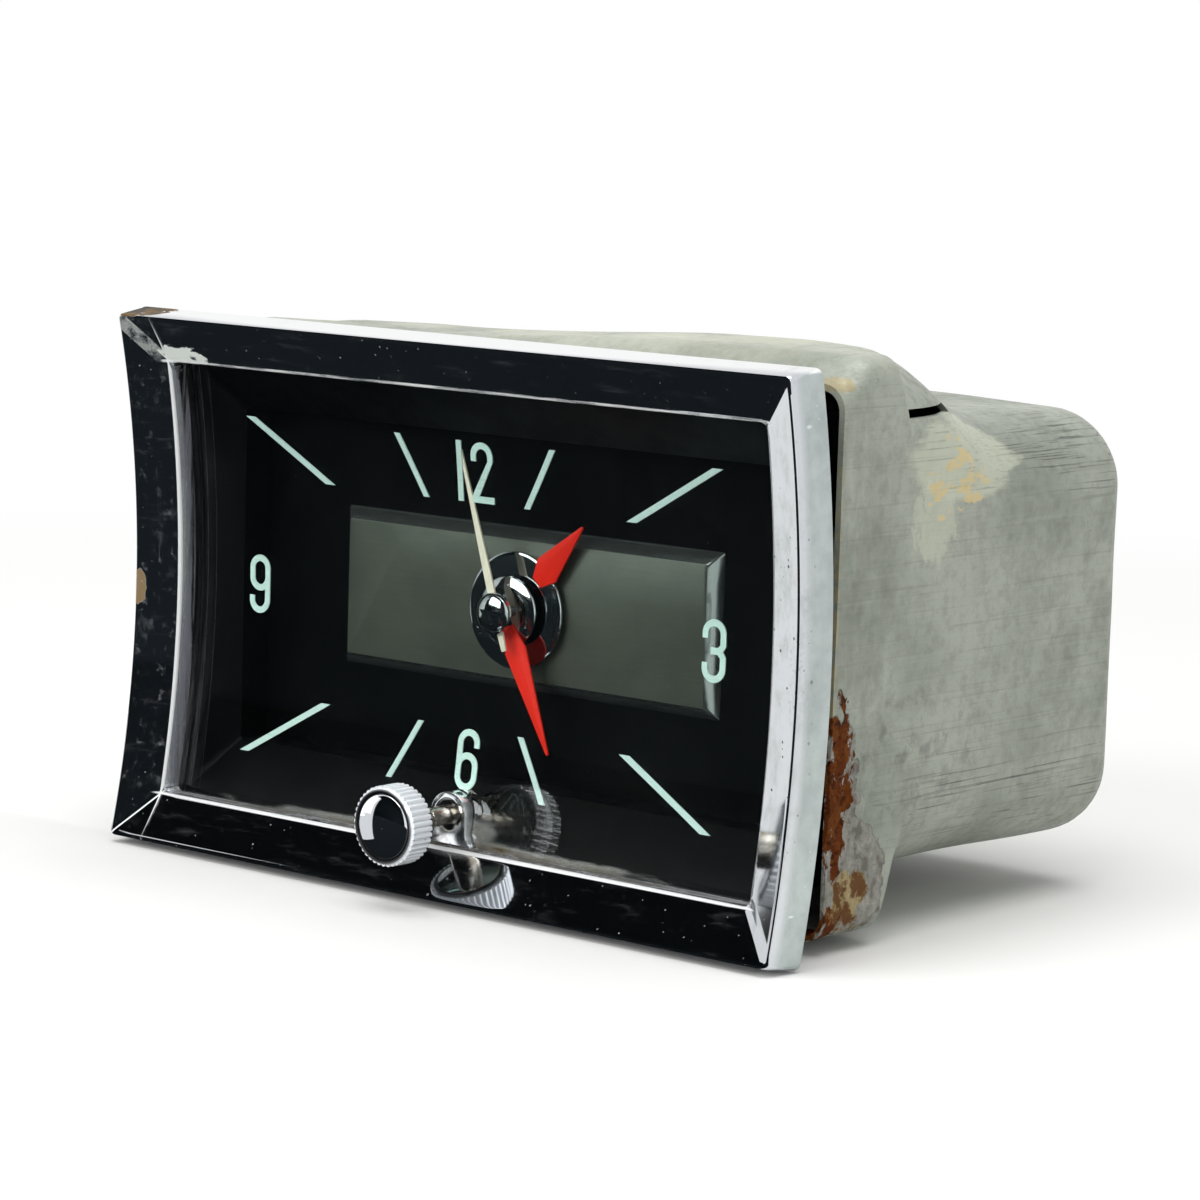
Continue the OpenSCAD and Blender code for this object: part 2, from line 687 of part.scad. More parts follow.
module terminal_insulator() {
    color("#5A3A22") place() difference() {
        union() {
            bar(0, -14, 5, case_end - case_t - 1.4, case_end - case_t);
            bar(0, -14, 2.9, case_end - 3.4, case_end + 0.5);
            bar(0, -14, 5, case_end, case_end + 1.6);
        }
        bar(0, -14, 1.95, case_end - 10, case_end + 10);
    }
}

module terminal_nut() {
    color("#C2A45A") place() difference() {
        translate([0, case_end + 4.8, -14]) rotate([90, 0, 0]) cylinder(r = 4, h = 3.2, $fn = 6);
        bar(0, -14, 1.95, case_end, case_end + 10);
    }
}

module magnet_coil() {
    color("#8C4A2B") place() difference() {
        translate([coil_x, coil_y, -coil_len / 2]) cylinder(r = coil_r, h = coil_len);
        translate([coil_x, coil_y, -coil_len]) cylinder(r = core_r + 0.05, h = 2 * coil_len);
    }
}

module magnet_core() {
    core_z = yoke_z + 1;
    yoke_d = coil_y + 4 - plate_b;
    pole = 4.6;
    color("#6E7074") place() {
        translate([coil_x, coil_y, -core_z]) cylinder(r = core_r, h = 2 * core_z);
        translate([coil_x - 5, plate_b, -yoke_z - yoke_t]) cube([10, yoke_d, yoke_t]);
        translate([coil_x - 5, plate_b, yoke_z]) cube([14, yoke_d, yoke_t]);
        translate([coil_x + coil_r + 0.4, plate_b, yoke_z + yoke_t - pole]) cube([pole + 0.8, pole, pole]);
    }
}

module balance_cock() {
    x = balance_pos[0];
    z = balance_pos[1];
    f = balance_r + 0.5;
    color("#BFA25C") place() difference() {
        union() {
            slab(rear_b, 7) translate([x - 4, z - f - 4.6]) square([8, 4.6]);
            slab(rear_b + 7, 2) {
                translate([x - 4, z - f - 4.6]) square([8, 4.6]);
                translate([x - 3, z - f - 1]) square([6, f + 1]);
                translate([x, z]) circle(r = 3.4);
                translate([x, z - 0.9]) square([6, 1.8]);
            }
        }
        bar(x, z, 0.5 + run, rear_b, rear_b + 20);
        bar(x, z - f - 2.3, 1.1, rear_b, rear_b + 20);
    }
}

module cock_screw() {
    x = balance_pos[0];
    z = balance_pos[1] - balance_r - 2.8;
    color("#8F949A") place() {
        bar(x, z, 1, rear_b + 0.1, rear_b + 9.1);
        difference() {
            bar(x, z, 1.9, rear_b + 9, rear_b + 10.2);
            translate([x - 3, rear_b + 9.7, z - 0.2]) cube([6, 1, 0.4]);
        }
    }
}

// Flat spiral from r0 to r1 in the given turns, w wide
module spiral(r0, r1, turns, w) {
    n = 36 * turns;
    polygon(concat(
        [for (i = [0 : n]) let (r = r0 + (r1 - r0) * i / n) [r * cos(10 * i), r * sin(10 * i)]],
        [for (i = [n : -1 : 0]) let (r = r0 + w + (r1 - r0) * i / n) [r * cos(10 * i), r * sin(10 * i)]]));
}

module hairspring() {
    x = balance_pos[0];
    z = balance_pos[1];
    color("#3D4C66") place() translate([x, 0, z]) {
        slab(rear_b + 5.4, 0.5) spiral(1.5, 5, 4, 0.22);
        slab(rear_b + 5.2, 1.8) translate([5.1, 0]) circle(r = 0.5);
    }
}

module stem_spring() {
    color("#7D8084") place() difference() {
        bar(0, -stem_z, collar_r, collar_y + collar_t + stem_push + 0.2, plate_y);
        bar(0, -stem_z, stem_r + run, 0, plate_y + 1);
    }
}

module lamp_socket() {
    color("#B8B49A") place() difference() {
        bar(lamp_x, lamp_z, lamp_r, rear_y - lamp_len, rear_y);
        bar(lamp_x, lamp_z, lamp_r - lamp_t, rear_y - lamp_len - 1, rear_y - 2 * lamp_t);
    }
}

module lamp_bulb() {
    cap_y = rear_y - lamp_len + 1;
    dome_y = cap_y - 3;
    color("#E8E6DA") place() {
        bar(lamp_x, lamp_z, lamp_r - lamp_t - 0.05, cap_y, rear_y - 2 * lamp_t);
        bar(lamp_x, lamp_z, bulb_r, dome_y, cap_y);
        translate([lamp_x, dome_y, lamp_z]) sphere(r = bulb_r);
    }
}

module cannon_pinion() {
    color("#C2A45A") place() difference() {
        union() {
            bar(0, 0, cannon_r, minute_disc_y, plate_b + 7);
            slab(minute_wheel_y - 0.2, 1.4) gear(n_cannon, motion_m, 18);
        }
        bar(0, 0, sec_r + run, 0, 60);
    }
}

module centre_wheel() {
    color("#C9A94F") place() slab(plate_b + 4.5, 1) wheel(n_centre, train_m, 0, cannon_r);
}

// Saw-toothed wheel for the winding pawl
module ratchet_wheel() {
    n = 24;
    color("#A9ABAD") place() slab(plate_b + 0.7, 1) difference() {
        polygon([for (i = [0 : n - 1]) each [[6 * cos(15 * i), 6 * sin(15 * i)],
            [6.7 * cos(15 * i + 1), 6.7 * sin(15 * i + 1)]]]);
        circle(r = cannon_r);
    }
}

module minute_boss() {
    r = minute_disc_r;
    color("#C9CCCF") place() translate([0, minute_disc_y + 0.7, 0]) rotate([90, 0, 0]) rotate_extrude()
        polygon([[cannon_r, -0.7], [2, -0.7], [2, 0], [r, 0], [r, 0.25], [r * 0.85, 0.5], [r * 0.68, 0.68],
            [r * 0.58, 0.75], [cannon_r, 0.75]]);
}

// Kite-shaped blade from r0, widest at r1, to its tip
module blade(r0, w0, r1, w1, tip) {
    polygon([[-w0, r0], [w0, r0], [w1, r1], [0.18, tip], [-0.18, tip], [-w1, r1]]);
}

module minute_hand() {
    color("#FF3A10") place() slab(minute_disc_y - 0.05 - hand_t, hand_t) rotate(-minute_ang)
        blade(1.9, 0.75, 5.2, minute_half, minute_len);
}

module hour_wheel() {
    color("#C9A94F") place() difference() {
        union() {
            slab(hour_wheel_y, 1) gear(n_hour, motion_m, 270 + 180 / n_hour);
            bar(0, 0, hour_pipe_r, hour_disc_y, hour_wheel_y + 0.5);
        }
        bar(0, 0, cannon_r + run, 0, 60);
    }
}

module hour_boss() {
    r = hour_disc_r;
    color("#C9CCCF") place() translate([0, hour_disc_y + 0.5, 0]) rotate([90, 0, 0]) rotate_extrude()
        polygon([[hour_pipe_r, 0], [r, 0], [r, 0.2], [r - 0.5, 0.45], [3, 0.5], [hour_pipe_r, 0.5]]);
}

module hour_hand() {
    color("#FF3A10") place() slab(hour_disc_y - hand_t, hand_t) rotate(-hour_ang)
        blade(5.6, 0.9, 8, hour_half, hour_len);
}

module minute_wheel() {
    color("#C9A94F") place() translate([0, 0, minute_z]) difference() {
        union() {
            slab(minute_wheel_y, 1) gear(n_minute, motion_m, 0);
            slab(hour_wheel_y - 0.2, 2.3) gear(n_minute_p, motion_m, 0);
        }
        bar(0, 0, post_r + run, 0, 60);
    }
}

module setting_wheel() {
    color("#C9A94F") place() translate([0, 0, setting_z])
        slab(minute_wheel_y, 1) wheel(n_minute, motion_m, 6, post_r + run);
}

module third_arbor() {
    color("#9DA0A4") place() translate([third_pos[0], 0, third_pos[1]]) {
        bar(0, 0, arbor_r, plate_y + 0.2, rear_b - 0.2);
        slab(plate_b + 4.1, 1.8) gear(n_third_p, train_m, 0);
    }
}

module third_wheel() {
    color("#C9A94F") place() translate([third_pos[0], 0, third_pos[1]])
        slab(plate_b + 8, 1) wheel(n_third, third_m, 6, arbor_r);
}

module seconds_arbor() {
    color("#9DA0A4") place() {
        bar(0, 0, sec_r, second_y, plate_b + 7.4);
        bar(0, 0, sec_r - 0.05, plate_b + 7.4, rear_b - 0.2);
        slab(plate_b + 7.5, 2) gear(n_fourth_p, third_m, 0);
    }
}

module fourth_wheel() {
    color("#C9A94F") place() slab(plate_b + 11.5, 0.7) wheel(n_fourth, train_m, escape_dir, sec_r - 0.05);
}

module seconds_hand() {
    color("#F4EFD8") place() slab(second_y + 0.3, 0.3) rotate(-second_ang) difference() {
        union() {
            polygon([[-0.35, -5], [0.35, -5], [0.65, 0], [0.6, 6], [0.2, second_len], [-0.2, second_len],
                [-0.6, 6], [-0.65, 0]]);
            circle(r = second_cap_r - 0.9);
        }
        circle(r = sec_r);
    }
}

module seconds_cap() {
    r = second_cap_r;
    color("#C9CCCF") place() translate([0, second_y + 0.3, 0]) rotate([90, 0, 0]) rotate_extrude()
        polygon(concat([[0, 0.3], [sec_r, 0.3], [sec_r, 0], [r, 0]],
            [for (a = [10 : 10 : 90]) [r * cos(a), 0.3 + 1.1 * sin(a)]]));
}

module escape_arbor() {
    color("#9DA0A4") place() translate([escape_pos[0], 0, escape_pos[1]]) {
        bar(0, 0, arbor_r, plate_y + 0.2, rear_b - 0.2);
        slab(plate_b + 11.1, 1.5) gear(n_escape_p, train_m, 10);
    }
}

module escape_wheel() {
    n = 15;
    color("#C9A94F") place() translate([escape_pos[0], 0, escape_pos[1]])
        slab(plate_b + 13.6, 0.5) difference() {
            polygon([for (i = [0 : n - 1]) for (k = [0 : 3]) let (r = k == 1 || k == 2 ? 3.4 : 2.5,
                a = 24 * i + [0, 14, 17, 9][k]) [r * cos(a), r * sin(a)]]);
            circle(r = arbor_r);
        }
}

module pallet_fork() {
    color("#9DA0A4") place() translate([pallet_pos[0], 0, pallet_pos[1]]) {
        bar(0, 0, arbor_r, plate_y + 0.2, rear_b - 0.2);
        slab(plate_b + 13.5, 0.7) rotate(escape_dir) {
            circle(r = 0.9);
            for (s = [0, 1]) mirror([0, s]) {
                polygon([[-0.6, 0], [0.5, 0], [-1.4, 3.1], [-2.3, 2.9]]);
                polygon([[4.4, 0.3], [5.4, 0.5], [5.4, 0.9], [4.2, 0.8]]);
            }
            translate([0, -0.4]) square([4.6, 0.8]);
        }
    }
}

module balance_staff() {
    color("#9DA0A4") place() translate([balance_pos[0], 0, balance_pos[1]]) {
        bar(0, 0, 0.5, plate_y + 0.2, rear_b + 8.8);
        bar(0, 0, 0.9, plate_b + 13, rear_b + 6.4);
        bar(0, 0, 1.2, plate_b + 12, plate_b + 12.8);
    }
}

module balance_wheel() {
    color("#C9A94F") place() translate([balance_pos[0], 0, balance_pos[1]])
        slab(rear_b + 2, 1.2) difference() {
            union() {
                difference() {
                    circle(r = balance_r);
                    circle(r = balance_r - 1.2);
                }
                translate([1 - balance_r, -0.7]) square([2 * balance_r - 2, 1.4]);
                circle(r = 1.8);
            }
            circle(r = 0.9);
        }
}

module winding_arm() {
    color("#77797D") place() difference() {
        union() {
            slab(plate_b + 2.2, 1.2) {
                circle(r = 4);
                translate([-15, -2]) square([14, 4]);
                rotate(120) translate([0, -1]) square([8.6, 2]);
            }
            slab(plate_b + 0.7, 1.8) rotate(120) translate([7.2, -0.9]) square([1.4, 1.8]);
        }
        bar(0, 0, cannon_r + run, 0, 60);
    }
}

module stem_collar() {
    color("#8F949A") place() difference() {
        bar(0, -stem_z, collar_r, collar_y, collar_y + collar_t);
        bar(0, -stem_z, stem_r + run, 0, 60);
    }
}

module setting_stem() {
    color("#A08F72") place() {
        bar(0, -stem_z, stem_r + 0.5, knob_y + knob_len, neck_end);
        bar(0, -stem_z, stem_r, neck_end - 0.1, plate_b + 0.4);
    }
}

module friction_disc() {
    color("#4A3B30") place() difference() {
        bar(0, -stem_z, disc_r, disc_y, disc_y + disc_t);
        bar(0, -stem_z, stem_r, 0, 60);
    }
}

module setting_knob() {
    r = knob_dia / 2;
    n = knob_flutes;
    color("#C9CCCF") place() translate([0, 0, -stem_z]) difference() {
        union() {
            slab(knob_y + 0.4, knob_len - 0.7) polygon([for (i = [0 : n - 1]) for (k = [0 : 3])
                let (a = 360 / n * (i + [-0.3, -0.15, 0.15, 0.3][k]), q = k == 1 || k == 2 ? r : r - 0.3)
                [q * cos(a), q * sin(a)]]);
            bar(0, 0, r - 0.35, knob_y, knob_y + knob_len);
        }
        bar(0, 0, r - 0.85, knob_y - 1, knob_y + 1.2);
    }
}

module knob_button() {
    r = knob_dia / 2 - 1.3;
    color("#C9CCCF") place() translate([0, knob_y + 1.2, -stem_z]) rotate([90, 0, 0]) rotate_extrude()
        polygon(concat([[0, 0], [r, 0]], [for (a = [0 : 10 : 90]) [r * cos(a), 0.9 + 1.2 * sin(a)]]));
}

bezel();
bezel_tabs();
lens();
lens_gasket();
hour_batons();
hour_numerals();
stem_bush();
dial_mask();
dial_plate();
dial_panel();
dial_screws();
dial_feet();
front_plate();
rear_plate();
plate_pillars();
pillar_screws();
wheel_posts();
case_can();
rear_posts();
case_screws();
mounting_studs();
terminal_post();
terminal_insulator();
terminal_nut();
magnet_coil();
magnet_core();
balance_cock();
cock_screw();
hairspring();
stem_spring();
lamp_socket();
lamp_bulb();
cannon_pinion();
centre_wheel();
ratchet_wheel();
minute_boss();
minute_hand();
hour_wheel();
hour_boss();
hour_hand();
minute_wheel();
setting_wheel();
third_arbor();
third_wheel();
seconds_arbor();
fourth_wheel();
seconds_hand();
seconds_cap();
escape_arbor();
escape_wheel();
pallet_fork();
balance_staff();
balance_wheel();
winding_arm();
stem_collar();
setting_stem();
friction_disc();
setting_knob();
knob_button();
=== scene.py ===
import logging
import math
from dataclasses import dataclass
from enum import Enum
from typing import Any, Sequence

import bmesh
import bpy
from mathutils import Matrix, Vector, noise


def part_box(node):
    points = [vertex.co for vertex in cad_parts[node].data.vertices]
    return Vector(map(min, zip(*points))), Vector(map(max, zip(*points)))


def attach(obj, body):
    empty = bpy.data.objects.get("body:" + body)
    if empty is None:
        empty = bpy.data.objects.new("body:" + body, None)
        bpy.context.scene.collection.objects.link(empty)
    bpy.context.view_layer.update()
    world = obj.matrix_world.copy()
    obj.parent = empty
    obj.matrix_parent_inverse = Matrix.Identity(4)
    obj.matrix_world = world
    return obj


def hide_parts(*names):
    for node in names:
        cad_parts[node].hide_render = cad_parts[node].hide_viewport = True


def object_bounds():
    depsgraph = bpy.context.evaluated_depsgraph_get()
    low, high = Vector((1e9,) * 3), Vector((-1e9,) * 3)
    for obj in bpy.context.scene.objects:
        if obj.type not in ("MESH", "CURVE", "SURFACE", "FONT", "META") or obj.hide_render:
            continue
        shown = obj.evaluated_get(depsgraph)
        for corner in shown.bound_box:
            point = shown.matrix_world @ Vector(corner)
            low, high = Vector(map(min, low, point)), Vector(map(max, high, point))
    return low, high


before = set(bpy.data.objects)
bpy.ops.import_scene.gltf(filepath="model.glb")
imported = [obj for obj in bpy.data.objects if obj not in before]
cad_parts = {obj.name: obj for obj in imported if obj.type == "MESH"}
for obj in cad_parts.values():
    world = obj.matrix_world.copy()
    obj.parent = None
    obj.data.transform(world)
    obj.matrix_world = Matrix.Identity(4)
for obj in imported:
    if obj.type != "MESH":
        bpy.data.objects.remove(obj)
CAD_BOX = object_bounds()

LOG = logging.getLogger("dash_clock")
MM = 0.001
# Depth of the clock from the bezel's front rim to the rear face of the case, where the frame has its zero
CLOCK_DEPTH = 79.0
# Depth of the setting stem's axis below the middle of the dial, and radius of the stem, in mm
STEM_DROP = 25.0
STEM_R = 1.25
# Edges bent more than this many degrees stay crisp, where a piece doesn't say otherwise
CRISP = 28.0
# Sockets of a colour mix
COLOUR_A, COLOUR_B, COLOUR_OUT = 6, 7, 2

Point = tuple[float, float, float]
Profile = Sequence[tuple[float, float]]
Names = tuple[str, ...]
Material = bpy.types.Material
Node = bpy.types.Node
Piece = bpy.types.Object
Socket = bpy.types.NodeSocket
Tree = bpy.types.NodeTree
# What limits an effect: an area, a share of its strength, or nothing
Area = Socket | float | None


class Body(str, Enum):
    """The moving bodies that the pieces of the clock ride on."""

    CASE = "clock_case"
    MINUTE = "minute_arbor"
    HOUR = "hour_pipe"
    SECONDS = "seconds"
    KNOB = "knob_stem"


class Slot(str, Enum):
    """The material slots of the record, named for each new piece but not read by the script."""

    CHROME = "chrome"
    GLASS = "glass"
    MASK = "black_mask"
    PANEL = "panel_paint"
    RED = "red_paint"
    CREAM = "cream_paint"
    STEM = "stem_steel"
    CASE = "case_zinc"
    STUD = "stud_steel"
    BRASS = "brass"


def linear(code: str) -> tuple[float, float, float, float]:
    """Turns an sRGB hex colour to linear light.

    Args:
        code: Colour such as "#C6CACE".

    Returns:
        Red, green, blue and alpha.
    """
    parts = [int(code[i:i + 2], 16) / 255 for i in (1, 3, 5)]
    light = [c / 12.92 if c <= 0.04045 else ((c + 0.055) / 1.055) ** 2.4 for c in parts]
    return (light[0], light[1], light[2], 1.0)


def at(x: float, y: float, z: float) -> Vector:
    """Gives the frame point of a place in mm, with depth counted from the bezel's front rim."""
    return Vector((x, y - CLOCK_DEPTH, z)) * MM


def extent(node: str) -> tuple[Point, Point]:
    """Gives the lowest and highest corner of a solid in mm, with depth counted from the bezel's front rim."""
    low, high = ((v.x / MM, v.y / MM + CLOCK_DEPTH, v.z / MM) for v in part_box(node))
    return low, high


def ease(value: float, start: float, end: float) -> float:
    """Gives the smooth share of the way from start to end, from 0 to 1."""
    t = min(1.0, max(0.0, (value - start) / (end - start)))
    return t * t * (3 - 2 * t)


def add_node(tree: Tree, kind: str, inputs: dict | None = None, **settings: Any) -> Node:
    """Adds a node with its settings and links.

    Args:
        tree: Tree that takes the node.
        kind: Blender's name of the node type.
        inputs: Values or sockets by input name or number.
        settings: Attributes of the node.

    Returns:
        The node.
    """
    made = tree.nodes.new(kind)
    for name, value in settings.items():
        setattr(made, name, value)
    for key, value in (inputs or {}).items():
        if isinstance(value, Socket):
            tree.links.new(value, made.inputs[key])
        else:
            made.inputs[key].default_value = value
    return made


def in_sight(tree: Tree) -> Socket:
    """Tells rays that show a thing to the camera, by a mirror or through glass too, from those that light it.

    Args:
        tree: Tree that takes the nodes.

    Returns:
        1 for a ray that shows it, otherwise 0.
    """
    rays = add_node(tree, "ShaderNodeLightPath").outputs
    seen = rays["Is Camera Ray"]
    for kind in ("Is Glossy Ray", "Is Transmission Ray"):
        seen = add_node(tree, "ShaderNodeMath", {0: seen, 1: rays[kind]}, operation="MAXIMUM").outputs[0]
    return seen


class Surface:
    """A material in the making: its tree, its main shader and its coordinates in millimetres."""

    def __init__(self, name: str) -> None:
        """Starts a material.

        Args:
            name: What the real material is.
        """
        self.material = bpy.data.materials.new(name)
        self.material.use_nodes = True
        self.tree = self.material.node_tree
        self.shader = self.tree.nodes["Principled BSDF"]
        coords = self.add("ShaderNodeTexCoord")
        scaled = self.add("ShaderNodeVectorMath", {0: coords.outputs["Object"], "Scale": 1 / MM},
                          operation="SCALE")
        self.mm = scaled.outputs[0]

    def add(self, kind: str, inputs: dict | None = None, **settings: Any) -> Node:
        """Adds a node to the material's tree; see add_node."""
        return add_node(self.tree, kind, inputs, **settings)

    def set(self, **values: Any) -> None:
        """Sets the shader's sockets, named in lower case with underscores, to values or sockets."""
        names = {s.name.lower().replace(" ", "_"): s.name for s in self.shader.inputs}
        for key, value in values.items():
            socket = self.shader.inputs[names[key]]
            if isinstance(value, Socket):
                self.tree.links.new(value, socket)
            else:
                socket.default_value = value

    def limit(self, factor: Socket, within: Area) -> Socket:
        """Keeps an effect inside an area, or to a share of its strength.

        Args:
            factor: The effect, from 0 to 1.
            within: The area, a share, or nothing.

        Returns:
            The limited effect.
        """
        if within is None:
            return factor
        return self.add("ShaderNodeMath", {0: factor, 1: within}, operation="MULTIPLY").outputs[0]

    def most(self, *effects: Socket | float) -> Socket:
        """Takes the strongest of several effects at each point.

        Args:
            effects: The effects, as sockets or fixed values.

        Returns:
            The strongest one.
        """
        best = effects[0]
        for effect in effects[1:]:
            best = self.add("ShaderNodeMath", {0: best, 1: effect}, operation="MAXIMUM").outputs[0]
        return best

    def less(self, effect: Socket | float, taken: Socket) -> Socket:
        """Takes one effect out of another, down to nothing."""
        rest = self.add("ShaderNodeMath", {0: effect, 1: taken}, operation="SUBTRACT", use_clamp=True)
        return rest.outputs[0]

    def patches(self, size: Point | float, start: float, end: float, seed: float = 0.0, detail: float = 4.0,
                within: Area = None, frayed: Socket | None = None) -> Socket:
        """Cloudy patches, or streaks where the size differs by axis.

        Args:
            size: Size of a patch in mm, for each axis or for all.
            start: Noise level where a patch begins.
            end: Noise level where it is full.
            seed: Which of the random layouts.
            detail: How fine the edges break up.
            within: Area that the patches keep to.
            frayed: Area whose own edge breaks up with the patches.

        Returns:
            A factor from 0 to 1.
        """
        sizes = size if isinstance(size, tuple) else (size, size, size)
        spread = self.add("ShaderNodeVectorMath", {0: self.mm, 1: tuple(1 / s for s in sizes)},
                          operation="MULTIPLY")
        cloud = self.add("ShaderNodeTexNoise", {"Vector": spread.outputs[0], "W": seed, "Scale": 1.0,
                                                "Detail": detail, "Roughness": 0.6}, noise_dimensions="4D")
        height = cloud.outputs[0]
        if frayed is not None:
            # Away from the area the cloud sinks below every start level
            sink = self.level(frayed, -0.5, 0.0)
            height = self.add("ShaderNodeMath", {0: height, 1: sink}, operation="ADD").outputs[0]
        level = self.add("ShaderNodeMapRange", {"Value": height, "From Min": start, "From Max": end},
                         interpolation_type="SMOOTHSTEP")
        return self.limit(level.outputs[0], within)

    def specks(self, spacing: float, radius: float, within: Area = None) -> Socket:
        """Scattered round specks, such as pits or dust.

        Args:
            spacing: Mean distance of specks in mm.
            radius: Greatest radius of a speck in mm.
            within: Area that the specks keep to.

        Returns:
            A factor from 0 to 1.
        """
        cells = self.add("ShaderNodeTexVoronoi", {"Vector": self.mm, "Scale": 1 / spacing})
        chance = self.add("ShaderNodeSeparateColor", {0: cells.outputs["Color"]})
        share = radius / spacing
        # Cells with a high number lose their speck
        size = self.add("ShaderNodeMath", {0: chance.outputs[0], 1: -share * 1.6, 2: share},
                        operation="MULTIPLY_ADD")
        edge = self.add("ShaderNodeMath", {0: size.outputs[0], 1: cells.outputs["Distance"]},
                        operation="SUBTRACT")
        level = self.add("ShaderNodeMapRange", {"Value": edge.outputs[0], "From Min": 0.0,
                                                "From Max": share * 0.35})
        return self.limit(level.outputs[0], within)

    def near(self, centre: Point, reach: Point, soft: float = 0.4, within: Area = None) -> Socket:
        """The area near a point.

        Args:
            centre: The point in mm, with depth from the front rim.
            reach: How far the area goes along each axis, in mm.
            soft: Share of the reach where it is still full.
            within: Factor that also limits it.

        Returns:
            A factor from 0 to 1.
        """
        middle = tuple(at(*centre) / MM)
        away = self.add("ShaderNodeVectorMath", {0: self.mm, 1: middle}, operation="SUBTRACT")
        share = self.add("ShaderNodeVectorMath", {0: away.outputs[0], 1: tuple(1 / r for r in reach)},
                         operation="MULTIPLY")
        length = self.add("ShaderNodeVectorMath", {0: share.outputs[0]}, operation="LENGTH")
        level = self.add("ShaderNodeMapRange", {"Value": length.outputs["Value"], "From Min": 1.0,
                                                "From Max": soft}, interpolation_type="SMOOTHSTEP")
        return self.limit(level.outputs[0], within)

    def beyond(self, half_x: float, half_z: float, soft: float, within: Area = None) -> Socket:
        """The area outside a centred rectangle of the front view.

        Args:
            half_x: Half width in mm.
            half_z: Half height in mm.
            soft: Distance in mm over which it becomes full.
            within: Factor that also limits it.

        Returns:
            A factor from 0 to 1.
        """
        size = self.add("ShaderNodeVectorMath", {0: self.mm}, operation="ABSOLUTE")
        past = self.add("ShaderNodeVectorMath", {0: size.outputs[0], 1: (half_x, 0.0, half_z)},
                        operation="SUBTRACT")
        axes = self.add("ShaderNodeSeparateXYZ", {0: past.outputs[0]}).outputs
        level = self.add("ShaderNodeMapRange", {"Value": self.most(axes["X"], axes["Z"]), "From Min": 0.0,
                                                "From Max": soft})
        return self.limit(level.outputs[0], within)

    def mitre(self, offset: float, width: float, within: Area = None) -> Socket:
        """The lines where the bars of a centred frame meet at its corners.

        Args:
            offset: Half width less half height of the frame, in mm.
            width: Half width of the lines, in mm.
            within: Factor that also limits them.

        Returns:
            A factor from 0 to 1.
        """
        size = self.add("ShaderNodeVectorMath", {0: self.mm}, operation="ABSOLUTE")
        axes = self.add("ShaderNodeSeparateXYZ", {0: size.outputs[0]}).outputs
        skew = self.add("ShaderNodeMath", {0: axes["X"], 1: axes["Z"]}, operation="SUBTRACT")
        off = self.add("ShaderNodeMath", {0: skew.outputs[0], 1: offset, 2: width}, operation="COMPARE")
        return self.limit(off.outputs[0], within)

    def stain(self, under: Socket | str, over: Socket | str, where: Socket) -> Socket:
        """Lays one colour over another.

        Args:
            under: Colour below, as a socket or sRGB hex.
            over: Colour on top.
            where: Where the top one shows.

        Returns:
            The colour.
        """
        pair = [linear(c) if isinstance(c, str) else c for c in (under, over)]
        mix = self.add("ShaderNodeMix", {0: where, COLOUR_A: pair[0], COLOUR_B: pair[1]}, data_type="RGBA")
        return mix.outputs[COLOUR_OUT]

    def coat(self, colour: Socket | str, *marks: tuple[str, Socket, float]) -> Socket:
        """Lays marks over a colour, one after another.

        Args:
            colour: Colour below, as a socket or sRGB hex.
            marks: Colour, area and strength of each mark.

        Returns:
            The colour.
        """
        for over, where, share in marks:
            colour = self.stain(colour, over, self.limit(where, share))
        return colour

    def level(self, where: Socket, low: float, high: float) -> Socket:
        """Turns a factor to a range of values, such as a roughness."""
        return self.add("ShaderNodeMapRange", {"Value": where, "To Min": low, "To Max": high}).outputs[0]

    def relief(self, height: Socket, depth: float, base: Socket | None = None) -> Socket:
        """Gives the surface a fine relief.

        Args:
            height: Height from 0 to 1.
            depth: What 1 means in mm.
            base: Relief below this one.

        Returns:
            The bent normal, also linked to the shader.
        """
        inputs = {"Height": height, "Distance": depth * MM, "Strength": 1.0}
        if base is not None:
            inputs["Normal"] = base
        bump = self.add("ShaderNodeBump", inputs)
        self.set(normal=bump.outputs[0])
        return bump.outputs[0]


@dataclass(frozen=True)
class ChromePlate:
    """Bright chrome on buffed zinc: a mirror under a thin haze with pits and wipe marks."""

    name: str = "chrome_plate"
    tint: str = "#CDD0D4"
    haze: str = "#6F7678"
    pit: str = "#3A3B38"

    def start(self) -> tuple[Surface, Socket]:
        """Lays the plate.

        Returns:
            The surface, and its colour so far.
        """
        s = Surface(self.name)
        cloud = s.patches(9.0, 0.45, 0.75)
        mottle = s.patches(0.5, 0.52, 0.72, seed=3.0, within=cloud)
        wipes = s.patches((4.0, 4.0, 0.12), 0.62, 0.75, seed=5.0, within=cloud)
        pits = s.specks(1.6, 0.22)
        colour = s.coat(self.tint, (self.haze, mottle, 0.45), (self.haze, wipes, 0.4), (self.pit, pits, 0.7))
        s.set(base_color=colour, metallic=1.0, roughness=s.level(s.most(mottle, pits), 0.045, 0.32))
        s.relief(pits, -0.03)
        return s, colour

    def make(self) -> Material:
        """Gives the material."""
        return self.start()[0].material


